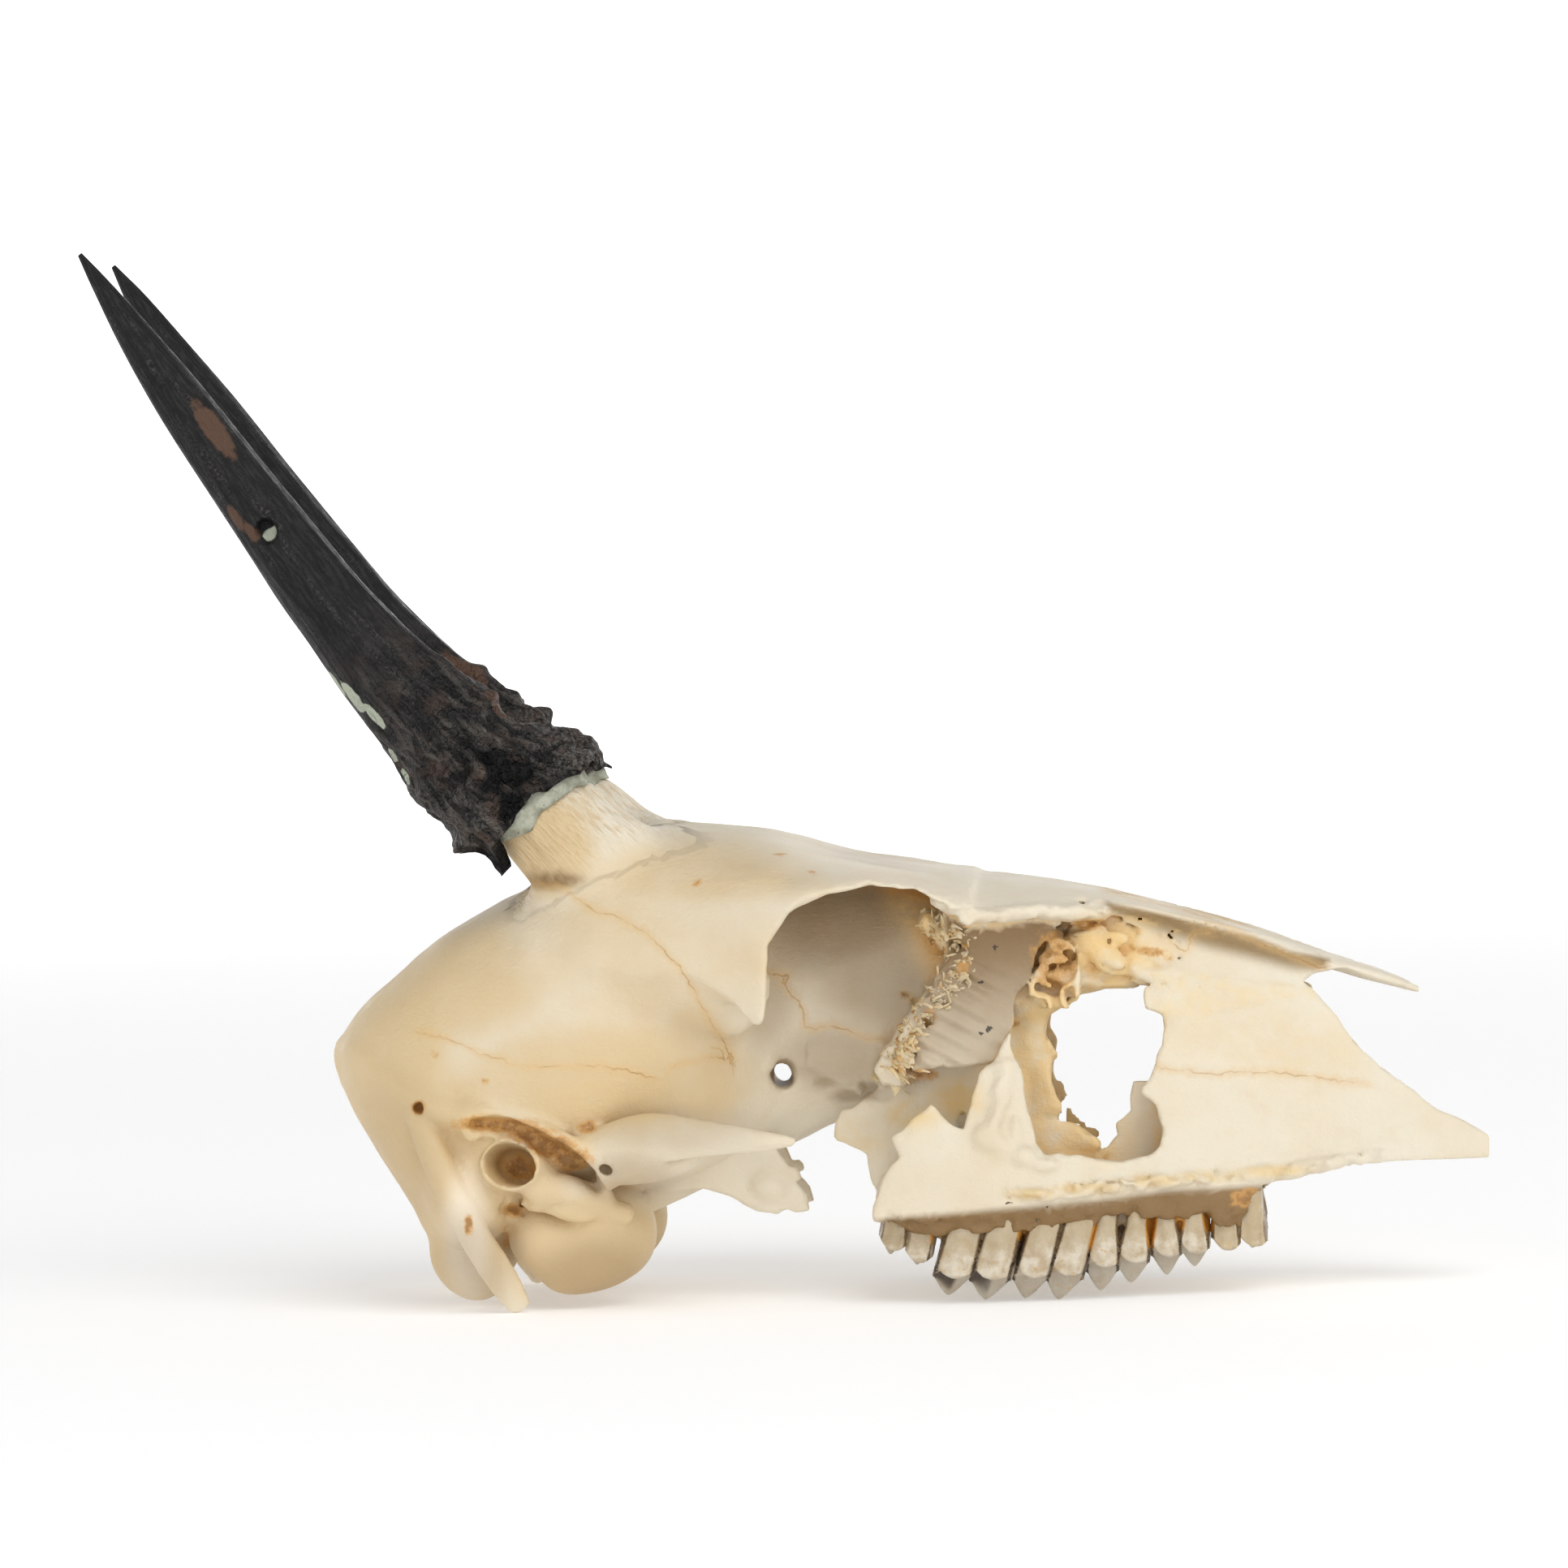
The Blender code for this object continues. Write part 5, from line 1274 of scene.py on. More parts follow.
# Lumps on a horn's front: distance from the tip, height, half length
HORN_LUMPS = {
    RIGHT: [(78.6, 0.5, 1.6), (86.3, 0.4, 2.0), (93.0, 0.9, 1.6), (98.4, 0.5, 1.4), (101.6, 0.9, 1.2)],
    LEFT: [(80.6, 1.2, 1.3), (91.6, 0.9, 1.4), (98.6, 0.7, 1.3), (101.2, 0.9, 1.4)],
}


OFFSET, HALF_WIDTH = 1, 2  # places in a station of a horn or a core
HORN_STEPS = 8


def read_stations(stations, s, place):
    """One number of a horn's or a core's stations, at these distances from the tip."""
    dense = spline(stations, HORN_STEPS)
    return np.interp(s, dense[:, 0], dense[:, place])


def horn_points(side, s, angle, forth, across):
    """Points of a horn from distances along it, angles, and reaches forwards and across."""
    tip, along, forwards, sideways = (np.array(v) for v in horn_frame(side))
    offset = read_stations(HORN_STATIONS, s, OFFSET)
    turn = np.radians(angle)
    return (
        tip
        + s[..., None] * along
        + (offset + forth * np.cos(turn))[..., None] * forwards
        + (across * np.sin(turn))[..., None] * sideways
    )


def horn_half(s):
    return read_stations(HORN_STATIONS, s, HALF_WIDTH)


def turned(angle, start):
    """The angle from start, between -180 and 180 degrees."""
    return (angle - start + 180) % 360 - 180


def patches(table, s, angle, half):
    """How strongly each place lies in a table's patches, from 0 to 1."""
    total = np.zeros(s.shape)
    for at_s, at_angle, length, width in table:
        far = np.hypot((s - at_s) / length, np.radians(turned(angle, at_angle)) * half / width)
        total = np.maximum(total, 1 - ramp(far, 0.5, 1.3))
    return total


def horn_relief(side, s, angle):
    """How far a sheath's surface stands out from its plain shape, in millimetres."""
    half = horn_half(s)
    turn = np.radians(angle)
    around_it = np.stack([half * np.cos(turn), half * np.sin(turn), s], -1).reshape(-1, 3)
    front = np.cos(np.radians(angle - 10)) * 0.5 + 0.5
    base = ramp(s, 74, 97)

    def noise(size, stretch, seed):
        return noise_at(around_it / (1, 1, stretch), size, seed + side).reshape(s.shape)

    keel_angle = 38 - 14 * ramp(s, 40, 85)
    keel = np.exp(-((turned(angle, keel_angle) / 14.0) ** 2))
    hollow = np.exp(-((turned(angle, keel_angle + 34) / 16.0) ** 2))
    relief = ramp(s, 8, 45) * (0.5 * keel - 0.25 * hollow)
    relief += 0.12 * noise(1.6, 14.0, 61) + ramp(s, 30, 70) * 0.16 * noise(0.9, 9.0, 62)
    warped = s + 1.6 * noise(7.0, 1.0, 63) + 0.8 * noise(3.0, 1.0, 64)
    rings = np.abs(np.sin(warped * math.pi / 4.2)) ** 0.7 - 0.6
    relief += base * (0.35 + 0.65 * front) * 0.7 * rings
    creased = 1 - 2.6 * np.abs(noise(5.0, 1.3, 65))
    fine = 0.8 * noise(2.4, 1.0, 68) + 0.3 * noise(1.3, 1.3, 66) + 0.16 * noise(0.7, 1.0, 67)
    relief += base * (1.3 * creased + fine)
    for at_s, height, length in HORN_LUMPS[side]:
        relief += height * np.exp(-(((s - at_s) / length) ** 2)) * np.exp(-((turned(angle, 0) / 38.0) ** 2))
    relief *= ramp(s, 0.0, 6.0)
    return relief


def torn_edge(places, seed):
    """Noise along one line."""
    return noise_at(np.stack([places, places * 0, places * 0], -1), 1.0, seed)


def sheath(name, side, material):
    angle = np.tile(np.arange(HORN_TURNS) * 360.0 / HORN_TURNS, (HORN_ROWS, 1))
    share = np.linspace(0.0, 1.0, HORN_ROWS)[:, None]
    mouth = around(MOUTH[side], angle) + 0.5 * torn_edge(angle[0] / 9.0, 71 + side)
    s = SHEATH_LENGTH * share + (mouth - SHEATH_LENGTH) * ramp(share, 0.86, 1.0)
    half = horn_half(s)
    relief = horn_relief(side, s, angle)
    hole = np.zeros(s.shape)
    if side == RIGHT:
        away = np.hypot(s - DRILL_HOLE_AT, np.radians(angle - DRILL_HOLE_ANGLE) * half)
        hole = 1 - ramp(away, DRILL_HOLE_RADIUS * 0.8, DRILL_HOLE_RADIUS * 1.15)
        relief = relief * (1 - hole) - DRILL_HOLE_DEPTH * hole
    outer = horn_points(side, s, angle, half + relief, half * HORN_FLATNESS + relief)
    up = np.linspace(0.0, 1.0, HORN_INNER_ROWS)[:, None]
    foot = mouth[:1] - 0.25
    s_in = foot - (foot - SHEATH_TOP) * up
    angle_in = angle[:HORN_INNER_ROWS]
    reach = sheath_inside(s_in)
    lip = horn_half(mouth[:1]) + relief[-1:] - SHEATH_LIP
    reach = reach + (np.maximum(lip, reach) - reach) * (1 - ramp(up, 0.0, 0.12))
    inner = core_points(side, s_in, angle_in, reach)
    rows = np.concatenate([outer, inner])
    glue = patches(GLUE_PATCHES[side], s, angle, half)
    filled = ramp(s - DRILL_HOLE_AT, -0.6, 0.3)  # the drilled hole's lower half
    glue = np.maximum(glue, hole * filled)
    inside = np.zeros(s_in.shape)
    given = {
        "grain": rows_grain(np.concatenate([s, s_in]), np.concatenate([angle, angle_in])),
        "brown": np.concatenate([patches(BROWN_PATCHES[side], s, angle, half), inside]),
        "glue": np.concatenate([glue, inside]),
        # painted shadow: the unfilled upper half of the drilled hole, and the sheath's inside, are made
        # near black
        "hole": np.concatenate([hole * (1 - filled), inside + 1]),
        "base": np.concatenate([ramp(s, 62, 96), inside + 1]),
        "relief": np.concatenate([relief, inside - 1]),
    }
    obj = loft(f"{name}_horn", rows, given)
    settle(obj, f"horn_sheath_{name}", material)


def rows_grain(s, angle):
    """Texture places that run along a horn, drawn out six times."""
    turn, half = np.radians(angle), horn_half(s) + 1.0
    return np.stack([half * np.cos(turn), half * np.sin(turn), s / 6.0], -1) * MM


def core_half(s):
    return read_stations(CORE_STATIONS, s, HALF_WIDTH)


def core_points(side, s, angle, reach):
    """Points round a horn's core, which isn't quite in the middle of its sheath."""
    shift = read_stations(CORE_STATIONS, s, OFFSET) - read_stations(HORN_STATIONS, s, OFFSET)
    forwards = np.array(horn_frame(side)[2])
    return horn_points(side, s, angle, reach, reach * HORN_FLATNESS) + shift[..., None] * forwards


FILLER_FROM = 94.0
CORE_GAP, FILLER_GAP = 0.35, 0.12  # from a sheath's inner wall
FILLER_ROUNDING = 0.9  # how much its end is drawn in


def filler_half(s):
    return np.interp(s, [FILLER_FROM, 99.4, 103.4, 108.0], [7.4, 8.1, 9.0, 9.6])


def sheath_inside(s):
    """The reach of a sheath's inner wall: round its core high up, and round the filler near its mouth."""
    core, full = core_half(s), filler_half(s) + FILLER_GAP
    return core + CORE_GAP + (full - core - CORE_GAP) * ramp(s, FILLER_FROM - 2, FILLER_FROM)


def filler(name, side, material):
    angle = np.arange(FILLER_TURNS) * 360.0 / FILLER_TURNS
    end = around(FILLER_END, angle) + 0.35 * torn_edge(angle / 12.0, 75 + side)
    rows, levels = [], []
    for share in np.linspace(0.0, 1.0, FILLER_ROWS):
        s = FILLER_FROM + (end - FILLER_FROM) * share
        reach = filler_half(s) - FILLER_ROUNDING * ramp(share, 0.8, 1.0)
        rows.append(core_points(side, s, angle, reach))
        levels.append(s)
    for share in np.linspace(0.0, 1.0, FILLER_INNER_ROWS):
        s = end - 0.3 - (end - 0.3 - FILLER_FROM) * share
        rows.append(core_points(side, s, angle, core_half(s) + 0.06))
        levels.append(s)
    rows = np.array(rows)
    bumps = 0.16 * noise_at(rows.reshape(-1, 3), 1.3, 76).reshape(rows.shape[:2])
    bumps[FILLER_ROWS:] = 0.0
    rows += (rows - rows.mean(1, keepdims=True)) * (bumps / 9.0)[..., None]
    obj = tube_loft(f"{name}_horn_filler", rows)
    give(obj, "level", np.array(levels).ravel() - np.tile(end, len(rows)))
    settle(obj, f"horn_bedding_{name}", material)


def tube_loft(name, rows):
    """A skin through rows of points whose last row joins its first."""
    count, ring = rows.shape[:2]
    here = np.arange(count * ring).reshape(count, ring)
    after, below = np.roll(here, -1, 1), np.roll(here, -1, 0)
    quads = np.stack([here, after, np.roll(after, -1, 0), below], -1).reshape(-1, 4)
    obj = link_polygons(name, rows.reshape(-1, 3), quads.tolist())
    face_outwards(obj.data)
    return obj


def tooth_block(u, v, half_u, half_v, power):
    """Distance, nearly, to an upright block with a rounded plan."""
    far = ((np.abs(u) / half_u) ** power + (np.abs(v) / half_v) ** power) ** (1 / power)
    return (far - 1) * np.minimum(half_u, half_v)


# How far the teeth lean back, and how much narrower they are at the gum
TILT = [(12.0, 0.1), (20.0, 0.28), (40.0, 0.3), (46.0, 0.14), (52.0, 0.0), (68.0, 0.0)]
NECK = [(12.0, 0.12), (30.0, 0.06), (38.0, 0.1), (45.0, 0.34), (58.0, 0.34), (64.0, 0.1)]
# Where the gaps between the teeth glow amber, in the side view
TOOTH_AMBER = [
    (27.0, 11.6, 1.0, 1.6, 0.7), (32.8, 10.8, 1.2, 2.6, 0.9), (43.4, 10.0, 2.2, 3.6, 1.0),
    (51.7, 10.8, 2.2, 4.2, 1.0), (57.0, 11.6, 1.8, 2.4, 1.0), (60.4, 11.6, 1.2, 2.8, 1.0),
    (65.0, 13.2, 2.4, 2.2, 1.0), (20.0, 9.4, 0.8, 1.6, 0.8),
]


def tooth_field(entry, side):
    """One cheek tooth: columns with an outer wall, lower inner cusps and a valley between, and its root."""
    _, back, front, width, walls, cusps = entry
    middle, lobe = (back + front) / 2, (front - back) / len(walls)
    row_y, gum = between(TOOTH_ROW, middle), between(GUM_LINE, middle)
    slope = (between(TOOTH_ROW, middle + 1) - between(TOOTH_ROW, middle - 1)) / 2
    low, high = sorted((side * (row_y - width), side * (row_y + width)))
    field = Field((back - 3, low, 0.5), (front + 3, high, SOCKET_TOP + 1), TOOTH_STEP)
    x, y, z = field.coordinates(field.everywhere())
    v = side * y - row_y - slope * (x - middle)
    outer = ramp(v / width, -0.05, 0.2)
    for i, (wall, cusp) in enumerate(zip(walls, cusps)):
        lean = between(TILT, middle) * (np.minimum(z, gum + 1.0) - wall)
        u = x - lean - (back + lobe * (i + 0.5))
        neck = ramp(z, wall + 1.0, gum) * outer * between(NECK, middle)
        half_u = (lobe / 2 + 0.3) * (1.0 - neck - 0.3 * ramp(z, gum, gum + 4.0))
        half_v = width / 2 * (1 - 0.18 * ramp(z, wall, gum) - 0.12 * ramp(z, gum, gum + 4.0))
        away = np.clip(np.abs(u) / (lobe / 2), 0, 1)
        ribs = 0.3 * np.exp(-((u / (0.2 * lobe)) ** 2)) + 0.45 * np.exp(-(((u / lobe - 0.38) / 0.09) ** 2))
        ribs = ribs + 0.3 * np.exp(-(((u / lobe + 0.42) / 0.08) ** 2))
        column = tooth_block(u, v - ribs * outer, half_u, half_v, 4.0)
        inner_sole = cusp + 2.8 * away**1.4
        bend = np.clip(u / (lobe / 2), -1, 1) - 0.25
        outer_sole = wall + 1.15 * bend * bend - 0.2
        sole = inner_sole + (outer_sole - inner_sole) * ramp(v / width, 0.02, 0.2)
        sole = sole + 1.6 * np.exp(-(((v / width - 0.1) / 0.07) ** 2)) * (1 - away**2)
        field.add((field.everywhere(), np.maximum(column, (sole - z) * 0.75)), 0.12)
    root = tooth_block(x - middle, v, (front - back) / 2 * 0.9, width / 2 * 0.6, 3.0)
    root = np.maximum(root, np.maximum(z - SOCKET_TOP, gum - 0.5 - z))
    field.add((field.everywhere(), root), 0.5)
    grain = [(1.6, 0.09), (0.6, 0.04)]
    field.values += field.noise(field.everywhere(), grain, 81 + int(back), (1.0, 1.0, 0.3))
    return field


def tooth(entry, name, side, material):
    kind, back, front, width, walls, _ = entry
    field = tooth_field(entry, side)
    obj = field.object(f"{name}_{kind}", TOOTH_TRIANGLES)
    points = vertices(obj)
    middle, lobe = (back + front) / 2, (front - back) / len(walls)
    gum = between(GUM_LINE, middle)
    lean = between(TILT, middle) * (np.minimum(points[:, 2], gum + 1.0) - walls[0])
    along = (points[:, 0] - lean - back) / lobe
    away = np.abs(along % 1.0 - 0.5) * 2
    reach = (side * points[:, 1] - between(TOOTH_ROW, points[:, 0])) / width
    wall = np.where(along < 1, walls[0], walls[-1])
    # painted shade: greyer towards the lowest edges and on the inner cusps, which lie in shade
    give(obj, "tip", np.maximum(1 - ramp(points[:, 2] - wall, -0.4, 1.0), 1 - ramp(reach, 0.02, 0.2)))
    give(obj, "root", ramp(points[:, 2] - gum, -5.0, -0.4))
    neck = ramp(points[:, 2], walls[0] + 1.0, gum) * between(NECK, middle)
    gap = ramp(away / (1 - neck), 0.76, 1.0)
    give(obj, "gap", gap)
    amber = spots(TOOTH_AMBER, *side_view(*points.T))
    give(obj, "amber", np.maximum(gap, 1 - ramp(reach, 0.1, 0.4)) * amber)
    give(obj, "worn", np.full(len(points), 1.0 if kind == "premolar_2" else 0.0))
    # painted shadow in the valley under the outer wall's lower edge, at the back of each lobe of the rear
    # teeth
    valley = np.exp(-(((reach - 0.1) / 0.09) ** 2)) * (1 - ramp(points[:, 2] - wall, 1.2, 3.0))
    rearward = 1 - ramp(along % 1.0, 0.45, 0.8)
    give(obj, "valley_shade", valley * rearward * (1 - ramp(points[:, 0], 25, 36)))
    settle(obj, f"{kind}_{name}", material)


class Look:
    """A material, whose nodes are written as sums."""

    def __init__(self, name, roughness):
        self.material = bpy.data.materials.new(name)
        self.material.use_nodes = True
        self.tree = self.material.node_tree
        self.shader = self.tree.nodes["Principled BSDF"]
        self.place = self.node("ShaderNodeTexCoord").outputs["Object"]
        self.shader.inputs["Roughness"].default_value = roughness

    def node(self, kind, inputs=None, **settings):
        node = self.tree.nodes.new(kind)
        for key, value in settings.items():
            setattr(node, key, value)
        for socket, value in (inputs or {}).items():
            self.plug(node.inputs[socket], value)
        return node

    def plug(self, socket, value):
        if isinstance(value, bpy.types.NodeSocket):
            self.tree.links.new(value, socket)
        else:
            socket.default_value = value

    def read(self, name, vector=False):
        node = self.node("ShaderNodeAttribute", attribute_name=name)
        return node.outputs["Vector" if vector else "Fac"]

    def sum(self, operation, a, b=0.0):
        return self.node("ShaderNodeMath", {0: a, 1: b}, operation=operation).outputs[0]

    def add(self, *parts):
        """A sum of values. A value in a pair is taken times the pair's number."""
        parts = [self.sum("MULTIPLY", *part) if isinstance(part, tuple) else part for part in parts]
        return functools.reduce(lambda total, part: self.sum("ADD", total, part), parts)

    def rest(self, share):
        return self.sum("SUBTRACT", 1.0, share)

    def noise(self, size, detail=2.0, seed=0.0, place=None):
        """Noise from 0 to 1 with features of about this many millimetres."""
        shift = (seed, 1.7 * seed, 2.3 * seed)
        moved = self.node("ShaderNodeVectorMath", {0: place or self.place, 1: shift}, operation="ADD")
        inputs = {"Vector": moved.outputs[0], "Scale": 1 / (size * MM), "Detail": detail, "Roughness": 0.55}
        return self.node("ShaderNodeTexNoise", inputs).outputs["Fac"]

    def step(self, value, low, high, top=1.0):
        """0 below low and top above high, and smooth between them. Low may be the larger."""
        inputs = {"Value": value, "From Min": low, "From Max": high, "To Max": top}
        return self.node("ShaderNodeMapRange", inputs, interpolation_type="SMOOTHSTEP").outputs[0]

    def mix(self, a, b, share):
        colours = [(*c, 1.0) if isinstance(c, tuple) else c for c in (a, b)]
        inputs = {0: share, 6: colours[0], 7: colours[1]}
        return self.node("ShaderNodeMix", inputs, data_type="RGBA").outputs[2]

    def lay(self, name, colour, *shares):
        """Lays a colour over the material's own, as strongly as the product of the shares says."""
        self.colour = self.mix(self.colour, colour, self.spread(*shares))
        self.colour.node.label = name

    def spread(self, *parts):
        """A product of shares."""
        return functools.reduce(lambda total, part: self.sum("MULTIPLY", total, part), parts)

    def bump(self, heights):
        """Bumps stacked from (height from 0 to 1, its reach in millimetres)."""
        normal = None
        for height, reach in heights:
            node = self.node("ShaderNodeBump", {"Height": height, "Distance": reach * MM})
            if normal:
                self.plug(node.inputs["Normal"], normal)
            normal = node.outputs["Normal"]
        self.plug(self.shader.inputs["Normal"], normal)

    def finish(self, roughness=None):
        self.plug(self.shader.inputs["Base Color"], self.colour)
        if roughness is not None:
            self.plug(self.shader.inputs["Roughness"], roughness)
        return self.material


def horn_look():
    look = Look("horn", 0.45)
    look.shader.inputs["Specular IOR Level"].default_value = 0.16
    grain = look.read("grain", True)
    streak, grit = look.noise(0.5, 3.0, 1.0, grain), look.noise(1.3, 5.0, 8.0, grain)
    base, relief = look.read("base"), look.read("relief")
    look.colour = look.mix((0.007, 0.007, 0.007), (0.022, 0.021, 0.021), look.step(streak, 0.42, 0.7))
    look.lay("grit", (0.115, 0.10, 0.088), base, look.step(grit, 0.42, 0.7), 0.95)
    glint = look.step(look.noise(0.22, 2.0, 12.0), 0.66, 0.76)
    look.lay("glint", (0.30, 0.28, 0.25), glint, look.add(0.15, (base, 0.5)))
    tint = look.step(look.noise(4.0, 3.0, 13.0), 0.48, 0.66)
    look.lay("tint", (0.085, 0.055, 0.042), base, tint, 0.6)
    broad = look.step(look.noise(2.2, 2.0, 2.0, grain), 0.5, 0.75)
    look.lay("dust", (0.11, 0.10, 0.095), broad, look.step(look.noise(0.35, 2.0, 3.0), 0.48, 0.66), 0.55)
    worn = look.step(look.noise(0.6, 4.0, 10.0), 0.4, 0.65)
    look.lay("worn", (0.15, 0.135, 0.12), look.step(relief, 0.5, 1.8), base, worn, 0.7)
    # painted shade: near black in the creases of the horn's base, where its relief sinks
    look.lay("creases", (0.004, 0.004, 0.004), look.step(relief, -0.1, -0.8), base)
    patchy = look.add(look.read("brown"), look.noise(1.4, 3.0, 4.0), (look.noise(0.35, 3.0, 9.0), 0.8))
    look.lay("brown", (0.10, 0.055, 0.035), look.step(patchy, 1.2, 1.75), 0.9)
    glue = look.step(look.add(look.read("glue"), look.noise(1.0, 3.0, 5.0)), 1.12, 1.26)
    look.lay("filler", (0.42, 0.45, 0.36), glue)
    # painted shadow: near black in the drilled hole's unfilled upper half and on the sheath's inside
    look.lay("hole", (0.004, 0.004, 0.004), look.read("hole"))
    cloudy = look.step(look.noise(1.5, 3.0, 6.0), 0.3, 0.7, 0.25)
    crease = look.sum("ABSOLUTE", look.sum("SUBTRACT", look.noise(1.8, 3.0, 11.0), 0.5))
    look.bump([
        (look.spread(streak, look.rest(base)), 0.25),
        (look.spread(look.step(crease, 0.0, 0.12), base), 0.5), (look.spread(grit, base), 1.1),
        (look.noise(0.3, 2.0, 7.0), 0.12),
    ])
    return look.finish(look.add(cloudy, (base, 0.06), 0.26, (glue, 0.4)))


def filler_look():
    look = Look("filler", 0.85)
    cloudy = look.step(look.noise(1.6, 4.0), 0.35, 0.65)
    look.colour = look.mix((0.27, 0.27, 0.20), (0.44, 0.45, 0.36), cloudy)
    look.lay("dirt", (0.16, 0.13, 0.09), look.step(look.noise(0.7, 3.0, 2.0), 0.62, 0.75))
    look.bump([(look.noise(0.6, 4.0, 3.0), 0.25)])
    return look.finish()


def tooth_look():
    look = Look("enamel", 0.3)
    cloudy, fine = look.noise(1.8, 3.0), look.noise(0.5, 3.0, 2.0)
    root, gap = look.read("root"), look.read("gap")
    look.colour = look.mix((0.63, 0.56, 0.44), (0.46, 0.36, 0.23), look.step(cloudy, 0.36, 0.68))
    look.lay("worn", (0.62, 0.45, 0.22), look.read("worn"), look.step(cloudy, 0.2, 0.6), 0.6)
    # painted shade: grey on the lowest edges and the inner cusps
    look.lay("tip", (0.40, 0.35, 0.28), look.step(look.add(look.read("tip"), (cloudy, 0.5)), 0.6, 1.2), 0.7)
    look.lay("neck", (0.45, 0.35, 0.21), look.step(look.add(root, (fine, 0.8)), 0.6, 1.4), 0.8)
    look.lay("shade", (0.17, 0.105, 0.05), look.step(look.add(gap, (fine, 0.8)), 0.7, 1.4), 0.92)
    # painted shade: near black low in the narrow gaps between the lobes, away from the roots
    dark = look.add(look.spread(gap, look.rest(root)), (fine, 1.1))
    look.lay("dark", (0.03, 0.018, 0.01), look.step(dark, 1.0, 1.5), 0.92)
    amber = look.add(look.read("amber"), (fine, 0.7))
    look.lay("amber", (0.56, 0.25, 0.04), look.step(amber, 0.55, 1.0), 0.92)
    stain = look.step(look.noise(0.7, 3.0, 3.0), 0.6, 0.74)
    look.lay("stain", (0.55, 0.30, 0.08), stain, look.rest(root), 0.75)
    # painted shadow, near black, in the valley under the outer wall's edge
    look.lay("valley_shade", (0.06, 0.04, 0.025), look.step(look.read("valley_shade"), 0.35, 0.9))
    look.bump([(fine, 0.06)])
    return look.finish(look.step(cloudy, 0.3, 0.7, 0.5))


# Colouring of the bone by place in the photograph's side view: x, z, half length, half height, strength
WARM = [
    (-60, 40, 12, 16, 1.0), (-48, 48, 16, 12, 0.6), (-30, 34, 26, 10, 0.6), (-30, 8, 16, 10, 0.8),
    (-50, 18, 12, 22, 0.9), (-36, 68, 9, 9, 0.9), (-14, 36, 8, 12, 0.5), (-22, 50, 30, 16, 0.3),
    (-10, 63, 20, 6, 0.5), (14, 64, 12, 4, 0.3), (-38, 12, 8, 12, 0.6), (-62, 26, 10, 14, 0.9),
]
# Painted shadow with some brown in the eye socket: darkest at its top under the brow, and in thin lines
# under the rim of its wall
SOCKET_SHADE_AND_BROWN = [
    (8, 56, 16, 10, 0.7), (14, 48, 12, 10, 0.5), (6, 36, 10, 6, 0.45), (14, 34, 8, 4, 0.4),
    (4.5, 32.4, 3, 1.2, 0.6), (7.8, 30.4, 2.4, 1.2, 0.6), (12.4, 30.2, 3, 1.0, 0.6),
    (-4, 45, 6, 10, 0.35),
]
# Painted light: places where the bone is made lighter because light falls fully on them, the tops of the
# brow and the nose and a few places at the back: x, z, half length, half height, strength
PAINTED_LIGHT_SPOTS = [
    (18, 67, 24, 6, 0.8), (56, 62, 32, 6, 0.5), (86, 54, 20, 8, 0.5), (-48, 10, 4, 12, 0.7),
    (-62, 10, 6, 8, 0.2), (-20, 76, 8, 8, 0.5),
]
BROWN = [
    (-34.5, 62.6, 5.5, 1.5, 1.0), (-47, 8, 7, 8, 0.35), (-16, 26, 14, 4, 0.25), (-24, 19, 8, 4, 0.35),
    (-29, 5, 10, 6, 0.45), (-58, 22, 8, 16, 0.2),
]
# Thin places where the bone is yellow
YELLOW = [
    (24.0, 29.6, 4.5, 3.6, 1.0), (17.5, 27.5, 5.0, 2.6, 0.8), (10.0, 24.0, 5.0, 3.0, 0.5),
    (-41.0, 20.6, 4.0, 3.0, 0.6), (-34.0, 22.8, 6.0, 3.0, 0.6), (60.0, 40.0, 16.0, 6.0, 0.25),
    (47.0, 51.4, 9.0, 5.0, 0.9), (35.0, 15.4, 5.0, 1.0, 0.9), (43.0, 16.1, 6.0, 1.0, 0.8),
    (52.0, 17.0, 6.0, 1.0, 0.8), (61.0, 17.5, 6.0, 1.0, 0.8), (70.0, 18.1, 6.0, 1.1, 0.8),
    (-45.0, 27.4, 4.5, 1.4, 1.0), (74.0, 36.0, 14.0, 6.0, 0.3), (-24.0, 30.0, 14.0, 4.0, 0.3),
    (46.0, 24.0, 5.0, 6.0, 0.4),
]
